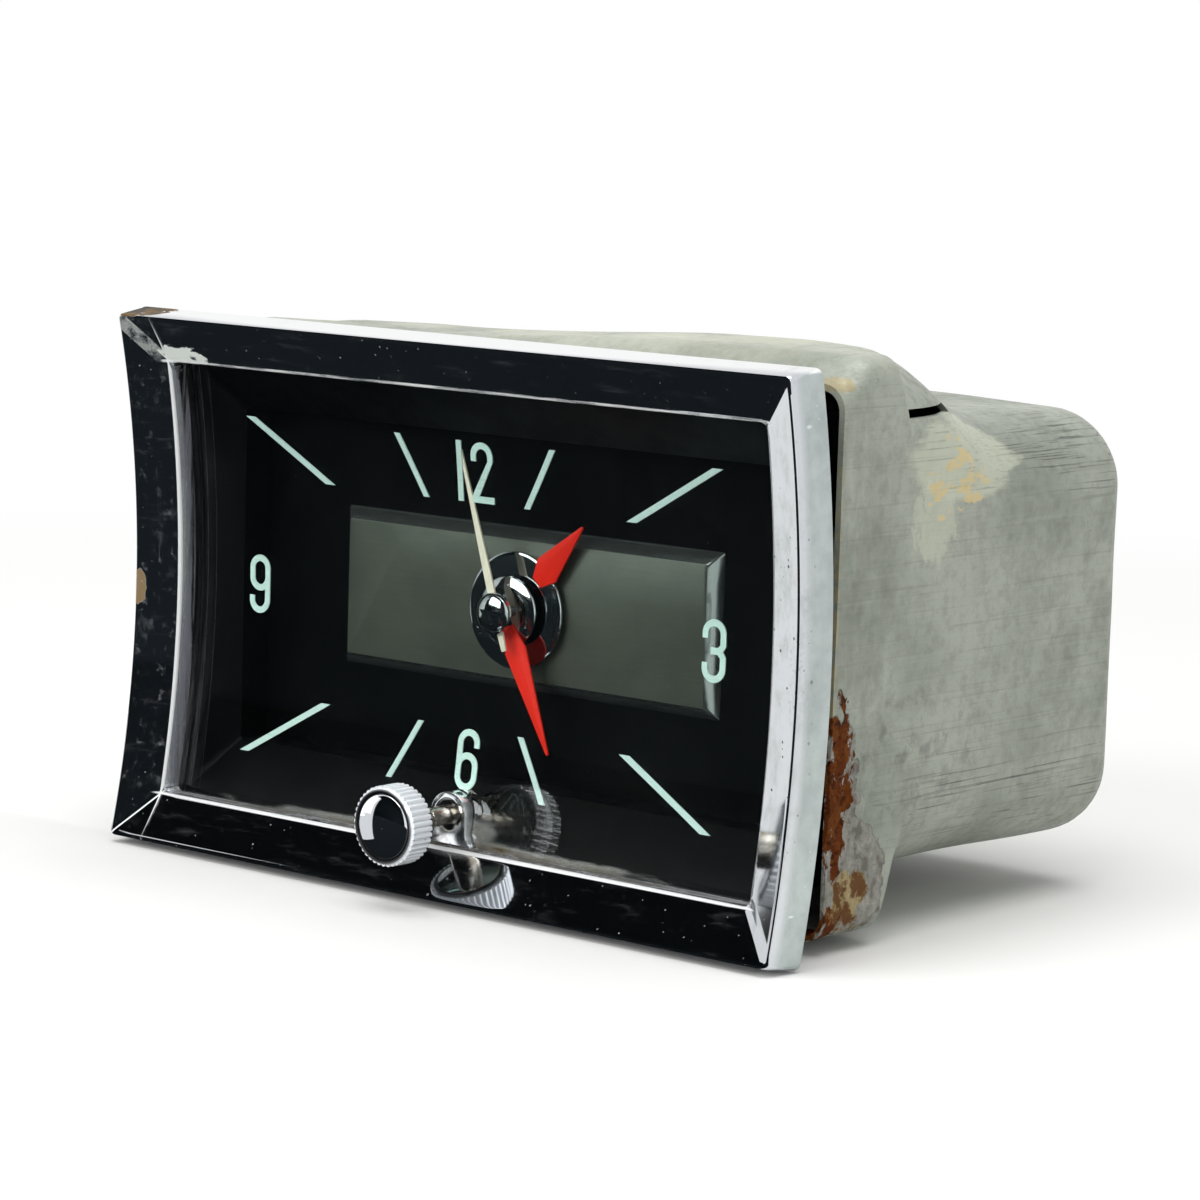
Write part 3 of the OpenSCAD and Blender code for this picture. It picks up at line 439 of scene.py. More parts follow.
@dataclass(frozen=True)
class AgedChrome(ChromePlate):
    """The bezel's chrome: as the plate, with smears, dull side walls, grease at the window foot and rust, and
    painted highlights on the top wall and the window's edges.
    """

    name: str = "aged_chrome_plate"
    dull: str = "#9BA6A3"
    rubbed: str = "#C2CBC8"
    # Painted highlight on the top wall and the window's edges
    bright: str = "#F4F6F6"
    smear: str = "#7C8C9A"
    shadow: str = "#8A8CA0"
    film: str = "#D3DBD4"
    # Painted highlight along the lower left mitre
    mist: str = "#9FA59B"
    painted_mitre_highlight: str = "#E8EBEC"
    soil_and_crevice_shade: str = "#8E9894"
    grease: str = "#2C2818"
    rust: str = "#5E4517"
    gold: str = "#7A6238"
    crust: str = "#15100A"
    # Half width of the bezel inside its side walls, and half its width less half its height, in mm
    half_x: float = 55.45
    skew: float = 20.35

    def make(self) -> Material:
        """Gives the material."""
        s, colour = self.start()
        # The walls round the bezel: dull at the sides, with a painted highlight on top
        walls = s.beyond(self.half_x, 60.0, 0.2)
        worn = s.patches(3.0, 0.3, 0.7, seed=12.0, within=walls)
        top = s.near((0.0, 4.0, 36.6), (90.0, 9.0, 2.0), 0.8)
        # Old grease on the sill, thickest round the stem bush
        foot = s.near((0.0, 5.7, -28.8), (62.0, 1.9, 1.2), 0.6)
        grease = s.patches((5.0, 2.0, 1.4), 0.34, 0.52, seed=8.0, within=foot)
        hub = s.near((2.5, 5.4, -29.0), (9.0, 2.6, 2.4), 0.3, within=s.patches(1.6, 0.36, 0.56, seed=2.0))
        # Rust in the upper left corner and bare metal half way down the left edge
        corner = s.patches(1.1, 0.3, 0.4, seed=9.0, frayed=s.near((-53.4, 3.0, 35.7), (6.5, 7.0, 1.5), 0.6))
        crumbs = s.patches(1.3, 0.42, 0.6, seed=28.0, within=corner)
        black = s.patches(0.8, 0.3, 0.4, seed=4.0, frayed=s.near((-55.4, 3.4, 36.0), (3.6, 7.0, 2.2), 0.4))
        gold = s.patches(0.9, 0.32, 0.42, seed=6.0, frayed=s.near((-54.7, 3.0, -1.6), (1.4, 6.0, 3.4), 0.6))
        # Peeled plate along the upper left mitre and beside it on the top bar
        haze = s.patches(1.3, 0.3, 0.6, seed=14.0, detail=8.0, frayed=s.mitre(self.skew + 0.25, 1.5),
                         within=s.near((-52.4, 2.0, 32.6), (4.6, 5.0, 4.6), 0.5))
        top_bar = s.mitre(self.skew - 50.0, 50.0)
        patch = s.patches((2.4, 2.0, 1.0), 0.34, 0.44, seed=15.0, detail=8.0, within=top_bar,
                          frayed=s.near((-46.8, 3.0, 29.5), (9.5, 5.0, 2.8), 0.3))
        # Spots, blooms and scuffs on the left bevel, dust and smears all over
        left = s.near((-52.0, 3.0, 0.0), (5.0, 9.0, 60.0), 0.5)
        cloud = s.patches((3.0, 9.0, 6.0), 0.42, 0.66, seed=26.0, within=left)
        spots = s.patches((1.1, 2.3, 1.3), 0.56, 0.74, seed=16.0, detail=12.0, within=cloud)
        blooms = s.patches((2.3, 5.0, 3.7), 0.56, 0.84, seed=17.0, detail=12.0, within=left)
        scuffs = s.patches((0.17, 2.0, 9.0), 0.64, 0.78, seed=18.0, within=cloud)
        dust = s.specks(1.3, 0.16)
        smears = s.patches((6.3, 4.0, 1.1), 0.54, 0.86, seed=20.0, detail=12.0)
        # Pits and soil on the right bevel
        right = s.near((52.6, 3.0, 0.0), (4.2, 9.0, 42.0), 0.7)
        pits = s.specks(1.5, 0.3, within=right)
        soil_and_crevice_shade = s.patches((2.0, 4.0, 4.0), 0.44, 0.74, seed=30.0, detail=12.0, within=right)
        # Painted highlights along edges: bright lines on the lower left mitre and the rounded edges of the
        # window, with a line of painted shade beside the left jamb
        mitres = s.mitre(self.skew, 0.16, within=s.near((-52.5, 3.0, -32.0), (5.5, 9.0, 6.0), 0.7))
        sill = s.near((0.0, 3.75, -29.0), (80.0, 0.9, 0.3), 0.6)
        jamb = s.near((-49.47, 6.0, 0.0), (0.24, 9.0, 60.0), 0.6)
        reveal = s.near((-49.2, 6.0, 0.0), (0.16, 9.0, 60.0), 0.6,
                        within=s.patches((1.0, 0.7, 16.0), 0.36, 0.6, seed=34.0))
        head = s.near((0.0, 3.75, 29.0), (80.0, 0.9, 0.42), 0.6,
                      within=s.patches((9.0, 1.0, 1.0), 0.3, 0.6, seed=24.0))
        # Colour, area, its strength there, and how far it hides the metal
        marks = (
            (self.dull, walls, 0.8, 0.0), (self.rubbed, worn, 0.6, 0.0), (self.bright, top, 1.0, 0.0),
            (self.smear, spots, 0.45, 0.4), (self.smear, blooms, 0.45, 0.26), (self.smear, scuffs, 0.4, 0.3),
            (self.smear, smears, 0.16, 0.07), (self.shadow, reveal, 0.7, 0.4), (self.bright, jamb, 0.9, 0.8),
            (self.film, dust, 0.5, 0.4), (self.mist, haze, 0.7, 0.6), (self.film, patch, 0.9, 0.8),
            (self.painted_mitre_highlight, mitres, 1.0, 1.0), (self.soil_and_crevice_shade, soil_and_crevice_shade, 0.5, 0.0), (self.pit, pits, 0.8, 0.8),
            (self.grease, grease, 0.9, 1.0), (self.grease, hub, 0.85, 0.85), (self.bright, sill, 0.9, 0.8),
            (self.bright, head, 0.9, 0.8), (self.rust, corner, 1.0, 1.0), (self.gold, gold, 0.95, 1.0),
            (self.crust, crumbs, 0.7, 0.0), (self.crust, black, 1.0, 1.0))
        colour = s.coat(colour, *(mark[:3] for mark in marks))
        dirt = s.most(*(s.limit(where, hidden) for _, where, _, hidden in marks if hidden))
        shine = s.shader.inputs["Roughness"].links[0].from_socket
        s.set(base_color=colour, roughness=s.most(shine, s.limit(dirt, 0.6), s.limit(walls, 0.3)),
              metallic=s.less(1.0, dirt))
        return s.material


@dataclass(frozen=True)
class KnobChrome(ChromePlate):
    """Chrome of knob and bush: a mirror dome in a black groove, pale flutes with painted shade in their gaps,
    brown film.
    """

    name: str = "knob_chrome_plate"
    tint: str = "#E2E6EA"
    # Black of the groove round the dome, also laid as painted shade in the gaps between the flutes
    groove: str = "#07080A"
    film: str = "#5A4A2C"
    drop: float = STEM_DROP
    # Radii in mm: the dome, the groove round it and the bottom of the flutes
    dome_r: float = 4.11
    groove_r: float = 4.56
    core_r: float = 4.78

    def make(self) -> Material:
        """Gives the material."""
        s, colour = self.start()
        axis = (0.0, -5.0, -self.drop)
        disc = s.near(axis, (self.dome_r, 60.0, self.dome_r), 0.985)
        dome = s.near(axis, (9.0, 3.6, 9.0), 0.9, within=disc)
        front = s.near(axis, (9.0, 3.2, 9.0), 0.9)
        ring = s.less(s.near(axis, (self.groove_r, 60.0, self.groove_r), 0.985, within=front), disc)
        stem = s.near((-1.0, 7.4, -self.drop - 0.8), (3.2, 4.2, 4.6), 0.3,
                      within=s.patches(1.2, 0.34, 0.6, seed=4.0))
        skirt = s.near((0.0, -4.2, -self.drop), (60.0, 3.4, 60.0), 0.9)
        # Painted shade in the gaps between the flutes
        gaps = s.less(s.near(axis, (self.core_r, 60.0, self.core_r), 0.97, within=skirt), dome)
        colour = s.coat(colour, (self.film, stem, 0.7), (self.groove, gaps, 0.85), (self.groove, ring, 1.0))
        flutes = s.less(skirt, dome)
        # Flutes are part diffuse, or they would only mirror the dark in front of them
        metal = s.less(s.level(flutes, 1.0, 0.45), ring)
        shine = s.level(dome, 0.15, 0.04)
        rough = s.add("ShaderNodeMath", {0: shine, 1: s.limit(ring, 0.4)}, operation="ADD")
        s.set(base_color=colour, metallic=metal, roughness=rough.outputs[0])
        return s.material


@dataclass(frozen=True)
class ClearGlass:
    """Bent sheet glass: clear and a little green, with faint wipe smears and a brown film at its foot."""

    name: str = "bent_sheet_glass"
    tint: str = "#F4FAF7"
    residue: str = "#5A4818"

    def make(self) -> Material:
        """Gives the material."""
        s = Surface(self.name)
        smear = s.patches((6.0, 6.0, 2.0), 0.55, 0.8, seed=1.0)
        foot = s.near((0.0, 6.5, -28.7), (60.0, 9.0, 1.3), 0.2)
        hub = s.near((3.0, 6.5, -27.0), (9.0, 9.0, 3.0), 0.1)
        film = s.patches((9.0, 9.0, 2.4), 0.22, 0.66, seed=3.0, frayed=s.most(foot, hub))
        s.set(base_color=s.stain(self.tint, self.residue, film), transmission_weight=s.level(film, 1.0, 0.4),
              ior=1.5, roughness=s.level(s.most(smear, film), 0.0, 0.05))
        return s.material


@dataclass(frozen=True)
class SatinPaint:
    """Sprayed paint or moulded plastic: even colour, soft sheen, fine grain and a scatter of dust."""

    name: str
    colour: str
    dust: str = "#8C9490"
    dust_share: float = 0.6
    dust_gap: float = 2.6
    sheen: float = 0.42
    gloss: float = 0.5
    grain: float = 0.5
    grain_share: float = 0.25
    shade: str = "#000000"

    def make(self) -> Material:
        """Gives the material."""
        s = Surface(self.name)
        grain = s.patches(self.grain, 0.3, 0.7, seed=2.0)
        cloud = s.patches(7.0, 0.4, 0.7, seed=6.0)
        dust = s.specks(self.dust_gap, 0.13)
        colour = s.coat(self.colour, (self.shade, grain, self.grain_share),
                        (self.shade, cloud, self.grain_share * 0.6), (self.dust, dust, self.dust_share))
        s.set(base_color=colour, roughness=s.level(cloud, self.sheen - 0.06, self.sheen + 0.08),
              specular_ior_level=self.gloss)
        s.relief(grain, 0.0006)
        return s.material


@dataclass(frozen=True)
class BrightCutPanel:
    """Grey-green satin lacquer on brushed aluminium, with the chamfer cut bright."""

    name: str = "lacquered_aluminium_panel"
    lacquer: str = "#585E55"
    shade: str = "#40453E"
    dust: str = "#A9AFA5"
    bright: str = "#AEB5B4"
    half_x: float = 29.9
    half_z: float = 9.0

    def make(self) -> Material:
        """Gives the material."""
        s = Surface(self.name)
        brush = s.patches((7.0, 0.5, 0.12), 0.3, 0.7, seed=2.0)
        cloud = s.patches(9.0, 0.4, 0.7, seed=6.0)
        dust = s.specks(2.2, 0.12)
        cut = s.beyond(self.half_x, self.half_z, 0.05)
        colour = s.coat(self.lacquer, (self.shade, brush, 0.25), (self.shade, cloud, 0.35),
                        (self.dust, dust, 0.5), (self.bright, cut, 1.0))
        s.set(base_color=colour, metallic=s.most(0.25, s.limit(cut, 0.92)),
              roughness=s.level(cut, 0.34, 0.15), specular_ior_level=0.4)
        s.relief(brush, 0.0008)
        return s.material


@dataclass(frozen=True)
class WornZinc:
    """Drawn sheet zinc gone dull: grey-green oxide, draw marks along the depth, stains and a rusty corner,
    with a painted highlight on the top and painted shade and highlights on the crust.
    """

    name: str = "dull_zinc_sheet"
    oxide: str = "#868C81"
    pale: str = "#A1A69B"
    grime: str = "#6B6F63"
    score: str = "#4A4E48"
    yellow: str = "#A39873"
    film: str = "#C0C4B0"
    cream: str = "#CDB984"
    rust: str = "#6E3610"
    ember: str = "#8E5420"
    deep_rust: str = "#3A1C0C"
    salt: str = "#B6B4AC"
    # Painted shade in the crevices and painted highlight on the crests of the crust
    crevice_shade: str = "#6E6658"
    crest_highlight: str = "#D3D0C7"
    # Painted highlight on the top of the case, where the light from above falls
    painted_top_highlight: str = "#C9C9B4"
    ochre: str = "#9C8A5A"

    def make(self) -> Material:
        """Gives the material."""
        s = Surface(self.name)
        cloud = s.patches(16.0, 0.36, 0.64, seed=1.0)
        mottle = s.patches(1.6, 0.42, 0.66, seed=4.0, detail=8.0)
        grain = s.patches(0.35, 0.4, 0.7, seed=9.0)
        draw = s.patches((0.6, 26.0, 0.4), 0.48, 0.7, seed=7.0)
        scores = s.patches((0.5, 30.0, 0.3), 0.54, 0.68, seed=11.0)
        freckle = s.patches(0.9, 0.66, 0.73, seed=13.0)
        # Draw marks bite where the sheet bends: along the upper corner and low on the sides
        bite = s.most(s.near((52.0, 66.0, 22.0), (14.0, 24.0, 7.0), 0.5),
                      s.near((52.0, 52.0, -20.0), (14.0, 40.0, 9.0), 0.4))
        flange = s.near((52.0, 15.0, 6.0), (12.0, 15.0, 34.0), 0.4,
                        within=s.patches((3.0, 3.0, 9.0), 0.36, 0.62, seed=27.0))
        blots = s.near((53.0, 30.0, -13.0), (8.0, 20.0, 12.0), 0.4,
                       within=s.patches(2.6, 0.52, 0.66, seed=29.0))
        # Painted highlight: the top of the case is painted paler
        top = s.near((0.0, 34.0, 38.0), (80.0, 30.0, 9.0), 0.3, within=s.patches(16.0, 0.3, 0.6, seed=3.0))
        # A pale stain runs from below the slot, with cream flakes in it
        tongue = s.patches((3.0, 7.0, 2.0), 0.2, 0.42, seed=5.0, detail=10.0,
                           frayed=s.near((51.5, 40.0, 23.0), (9.0, 19.0, 7.5), 0.5))
        drip = s.patches((2.0, 2.0, 4.0), 0.36, 0.46, seed=31.0, detail=8.0,
                         frayed=s.near((53.5, 33.0, 15.5), (5.0, 8.0, 9.0), 0.4))
        flakes = s.patches((2.0, 3.4, 1.7), 0.5, 0.55, seed=15.0, detail=12.0,
                           frayed=s.near((52.5, 38.0, 20.0), (7.0, 17.0, 12.0), 0.3))
        lip = s.patches(1.6, 0.36, 0.46, seed=33.0, frayed=s.near((51.5, 14.5, 33.2), (5.0, 3.6, 2.0), 0.4))
        rim = s.near((50.0, 13.2, 0.0), (8.0, 0.9, 40.0), 0.5, within=s.patches(2.0, 0.4, 0.6, seed=25.0))
        # The rust starts at the rim below the middle, widens downwards and ends in crust at the lower corner
        area = s.most(s.near((52.5, 18.0, -27.0), (8.0, 9.4, 10.5), 0.5),
                      s.near((54.0, 15.0, -16.0), (4.0, 6.4, 14.0), 0.3))
        salt = s.patches((1.8, 1.8, 3.0), 0.24, 0.3, seed=17.0, detail=8.0, frayed=area)
        vein = s.most(s.near((54.0, 15.0, -15.0), (4.0, 6.2, 23.0), 0.2),
                      s.near((50.0, 15.0, -31.5), (10.0, 4.6, 5.0), 0.4))
        rust = s.patches((1.5, 1.5, 2.4), 0.36, 0.41, seed=19.0, detail=10.0, frayed=vein)
        # Painted shade in the crevices and painted highlights on the crests of the crust, standing in for the
        # shading of its relief
        soil_and_crevice_shade = s.patches((1.3, 1.3, 1.7), 0.48, 0.62, seed=39.0, detail=12.0, within=salt)
        crest_highlight = s.patches((1.3, 1.3, 1.7), 0.46, 0.36, seed=39.0, detail=12.0, within=salt)
        ember = s.patches(1.5, 0.46, 0.6, seed=22.0, within=rust)
        core = s.patches(1.1, 0.5, 0.62, seed=23.0, within=rust)
        lumps = s.patches((2.6, 2.6, 2.6), 0.26, 0.34, seed=35.0, detail=12.0,
                          frayed=s.near((52.0, 18.0, -29.6), (9.0, 8.0, 7.4), 0.1))
        edge = s.patches(2.2, 0.42, 0.52, seed=37.0, detail=12.0, within=lumps)
        colour = s.coat(
            s.stain(self.oxide, self.pale, cloud),
            (self.grime, mottle, 0.22), (self.grime, grain, 0.14), (self.pale, draw, 0.3),
            (self.grime, scores, 0.3), (self.score, s.limit(scores, bite), 0.85),
            (self.grime, s.limit(draw, bite), 0.3), (self.score, freckle, 0.35), (self.grime, flange, 0.4),
            (self.score, blots, 0.4), (self.painted_top_highlight, top, 0.6), (self.film, tongue, 0.7),
            (self.film, drip, 0.5), (self.grime, s.limit(scores, tongue), 0.5), (self.cream, flakes, 0.8),
            (self.ochre, lip, 0.6), (self.yellow, rim, 0.7), (self.salt, salt, 0.85),
            (self.crevice_shade, soil_and_crevice_shade, 0.6), (self.crest_highlight, crest_highlight, 0.6), (self.rust, rust, 1.0),
            (self.ember, ember, 0.6), (self.deep_rust, core, 0.85), (self.cream, lumps, 0.85),
            (self.rust, edge, 0.85))
        crust = s.most(salt, rust, lumps)
        s.set(base_color=colour, metallic=s.level(crust, 0.25, 0.0),
              specular_ior_level=s.level(crust, 0.5, 0.1),
              roughness=s.most(s.level(mottle, 0.42, 0.6), s.limit(crust, 0.85)))
        fine = s.relief(s.patches((0.4, 20.0, 0.3), 0.3, 0.7, seed=7.0), 0.012)
        s.relief(s.patches(1.2, 0.3, 0.7, seed=21.0, detail=8.0, within=crust), 0.8, fine)
        return s.material


@dataclass(frozen=True)
class TurnedMetal:
    """Turned or stamped metal with a fine tool grain and light tarnish."""

    name: str
    colour: str
    tarnish: str
    shine: float = 0.3
    metal: float = 1.0
    grain: Point = (0.25, 0.25, 0.25)

    def make(self) -> Material:
        """Gives the material."""
        s = Surface(self.name)
        cloud = s.patches(2.5, 0.45, 0.7, seed=1.0)
        grain = s.patches(self.grain, 0.4, 0.7, seed=2.0)
        colour = s.coat(self.colour, (self.tarnish, cloud, 0.6), (self.tarnish, grain, 0.3))
        s.set(base_color=colour, metallic=self.metal, roughness=s.level(cloud, self.shine, self.shine + 0.2))
        s.relief(grain, 0.006)
        return s.material


def mesh_piece(name: str, points: Sequence[Vector], faces: Sequence[Sequence[int]], material: Material,
               sharp: float = CRISP) -> Piece:
    """Makes a closed mesh piece in the frame.

    Args:
        name: Name of the piece.
        points: Places in metres.
        faces: Corner numbers of each face.
        material: Finish of the piece.
        sharp: Edges bent more than this many degrees stay crisp.

    Returns:
        The object.
    """
    mesh = bpy.data.meshes.new(name)
    mesh.from_pydata([tuple(p) for p in points], [], [tuple(f) for f in faces])
    shape = bmesh.new()
    shape.from_mesh(mesh)
    bmesh.ops.remove_doubles(shape, verts=shape.verts, dist=1e-7)
    bmesh.ops.recalc_face_normals(shape, faces=shape.faces)
    shape.to_mesh(mesh)
    shape.free()
    piece = bpy.data.objects.new(name, mesh)
    bpy.context.scene.collection.objects.link(piece)
    mesh.materials.append(material)
    smooth(piece, sharp)
    return piece


def smooth(piece: Piece, sharp: float) -> None:
    """Shades a piece smooth, with edges over the given angle in degrees kept crisp."""
    piece.data.shade_smooth()
    piece.data.set_sharp_from_angle(angle=math.radians(sharp))


def settle_modifiers(piece: Piece, sharp: float = CRISP) -> Piece:
    """Turns a piece with modifiers to a plain mesh.

    Args:
        piece: The piece.
        sharp: Edges bent more than this many degrees stay crisp.

    Returns:
        The same piece.
    """
    graph = bpy.context.evaluated_depsgraph_get()
    plain = bpy.data.meshes.new_from_object(piece.evaluated_get(graph), depsgraph=graph)
    piece.modifiers.clear()
    piece.data = plain
    smooth(piece, sharp)
    return piece


def join(pieces: Sequence[Piece], sharp: float = CRISP) -> Piece:
    """Joins solids that make one piece.

    Args:
        pieces: Objects at the origin; the first keeps its name.
        sharp: Edges bent more than this many degrees stay crisp.

    Returns:
        The joined object.
    """
    shape = bmesh.new()
    for piece in pieces:
        shape.from_mesh(piece.data)
    shape.to_mesh(pieces[0].data)
    shape.free()
    for extra in pieces[1:]:
        bpy.data.objects.remove(extra)
    smooth(pieces[0], sharp)
    return pieces[0]


def loft(name: str, rings: Sequence[Sequence[Vector]], material: Material, closed: bool = True,
         sharp: float = CRISP) -> Piece:
    """Skins a row of rings with as many points each.

    Args:
        name: Name of the piece.
        rings: Rings of frame points.
        material: Finish of the piece.
        closed: Whether the last ring joins the first; otherwise both ends are capped.
        sharp: Edges bent more than this many degrees stay crisp.

    Returns:
        The object.
    """
    count = len(rings[0])
    rows = len(rings)
    faces = []
    for j in range(rows if closed else rows - 1):
        a, b = j * count, (j + 1) % rows * count
        faces += [(a + i, a + (i + 1) % count, b + (i + 1) % count, b + i) for i in range(count)]
    if not closed:
        faces += [tuple(range(count)), tuple(range((rows - 1) * count, rows * count))]
    return mesh_piece(name, [p for ring in rings for p in ring], faces, material, sharp)


def lathe(name: str, profile: Profile, material: Material, centre: tuple[float, float] = (0.0, 0.0),
          steps: int = 96, closed: bool = False) -> Piece:
    """Turns a profile round an axis along the depth.

    Args:
        name: Name of the piece.
        profile: Radius and depth of each point in mm.
        material: Finish of the piece.
        centre: Side and height of the axis in mm.
        steps: Sides of the turned shape.
        closed: Whether the profile closes on itself, as on a ring.

    Returns:
        The object.
    """
    turns = [2 * math.pi * i / steps for i in range(steps)]
    rings = [[at(centre[0] + radius * math.cos(t), depth, centre[1] + radius * math.sin(t)) for t in turns]
             for radius, depth in profile]
    return loft(name, rings, material, closed)


def slab(name: str, outline: Profile, front: float, back: float, material: Material,
         edge: float = 0.0) -> Piece:
    """Cuts an outline from sheet.

    Args:
        name: Name of the piece.
        outline: Side and height of each corner in mm.
        front: Depth of the front face in mm.
        back: Depth of the rear face in mm.
        material: Finish of the piece.
        edge: Rounding of the edges in mm.

    Returns:
        The object.
    """
    rings = [[at(x, depth, z) for x, z in outline] for depth in (front, back)]
    piece = loft(name, rings, material, closed=False)
    if edge > 0:
        bevel = piece.modifiers.new("edge", "BEVEL")
        bevel.width = edge * MM
        bevel.segments = 2
        bevel.limit_method = "ANGLE"
        # Leaves the facets of a round outline alone
        bevel.angle_limit = math.radians(40)
        settle_modifiers(piece)
    return piece


def settle(piece: Piece, body: Body, slot: Slot, *nodes: str) -> None:
    """Hands a finished piece to its body.

    Args:
        piece: The piece.
        body: Body that it rides on.
        slot: Material slot of the record; not used.
        nodes: Nodes that it stands for.
    """
    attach(piece, body.value)
    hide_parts(*nodes)
    LOG.info("%s rides %s, %d faces", piece.name, body.value, len(piece.data.polygons))


def dress(material: Material, *nodes: str) -> None:
    """Gives solids of the frame a finish.

    Args:
        material: The finish.
        nodes: Names of the solids.
    """
    for node in nodes:
        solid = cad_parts[node]
        solid.data.materials.clear()
        solid.data.materials.append(material)
        LOG.info("%s dressed in %s", node, material.name)


def ring_outline(half_x: float, half_z: float, corner: float, side_steps: int,
                 corner_steps: int) -> list[tuple[float, float]]:
    """Points of a rectangle with round corners.

    Args:
        half_x: Half width in mm.
        half_z: Half height in mm.
        corner: Corner radius in mm.
        side_steps: Steps along each straight side.
        corner_steps: Steps round each corner.

    Returns:
        Side and height of each point.
    """
    points = []
    for quarter, (sx, sz) in enumerate(((1, 1), (-1, 1), (-1, -1), (1, -1))):
        cx, cz = sx * (half_x - corner), sz * (half_z - corner)
        for i in range(corner_steps + 1):
            turn = math.pi / 2 * (quarter + i / corner_steps)
            points.append((cx + corner * math.cos(turn), cz + corner * math.sin(turn)))
        # The next corner's centre lies across the middle, sideways and upright by turns
        nx, nz = ((-cx, cz), (cx, -cz))[quarter % 2]
        start = points[-1]
        end = (nx + corner * math.cos(turn), nz + corner * math.sin(turn))
        for i in range(1, side_steps):
            share = i / side_steps
            points.append((start[0] + (end[0] - start[0]) * share, start[1] + (end[1] - start[1]) * share))
    return points


def carve(piece: Piece, cutter: Piece, sharp: float = CRISP) -> None:
    """Cuts one closed mesh out of another and removes the cutter.

    Args:
        piece: What is cut.
        cutter: What is taken away.
        sharp: Edges bent more than this many degrees stay crisp.
    """
    cut = piece.modifiers.new("cut", "BOOLEAN")
    cut.operation = "DIFFERENCE"
    cut.solver = "EXACT"
    cut.object = cutter
    settle_modifiers(piece, sharp)
    bpy.data.objects.remove(cutter)


def start_tree(name: str, **inputs: str) -> tuple[Tree, Any]:
    """Starts a geometry tree.

    Args:
        name: Name of the tree.
        inputs: Kind of each named input, such as Float.

    Returns:
        The tree and the sockets of its inputs.
    """
    tree = bpy.data.node_groups.new(name, "GeometryNodeTree")
    for socket, kind in inputs.items():
        tree.interface.new_socket(name=socket, in_out="INPUT", socket_type="NodeSocket" + kind)
    tree.interface.new_socket(name="Geometry", in_out="OUTPUT", socket_type="NodeSocketGeometry")
    return tree, add_node(tree, "NodeGroupInput").outputs


def end_tree(tree: Tree, made: Node, finish: Material) -> Tree:
    """Ends a geometry tree in plain geometry with a finish.

    Args:
        tree: The tree.
        made: Node that gives the shape.
        finish: Its material.

    Returns:
        The tree.
    """
    solid = add_node(tree, "GeometryNodeRealizeInstances", {0: made.outputs[0]})
    dressed = add_node(tree, "GeometryNodeSetMaterial", {"Geometry": solid.outputs[0], "Material": finish})
    add_node(tree, "NodeGroupOutput", {0: dressed.outputs[0]})
    return tree


def grow(name: str, tree: Tree, values: dict[str, Any]) -> Piece:
    """Runs a geometry tree and keeps what it makes as a plain mesh.

    Args:
        name: Name of the piece.
        tree: The tree.
        values: Its inputs by name.

    Returns:
        The object, with no modifier.
    """
    piece = bpy.data.objects.new(name, bpy.data.meshes.new(name))
    bpy.context.scene.collection.objects.link(piece)
    maker = piece.modifiers.new(name, "NODES")
    maker.node_group = tree
    for item in tree.interface.items_tree:
        if item.in_out == "INPUT" and item.name in values:
            maker[item.identifier] = values[item.name]
    return settle_modifiers(piece)


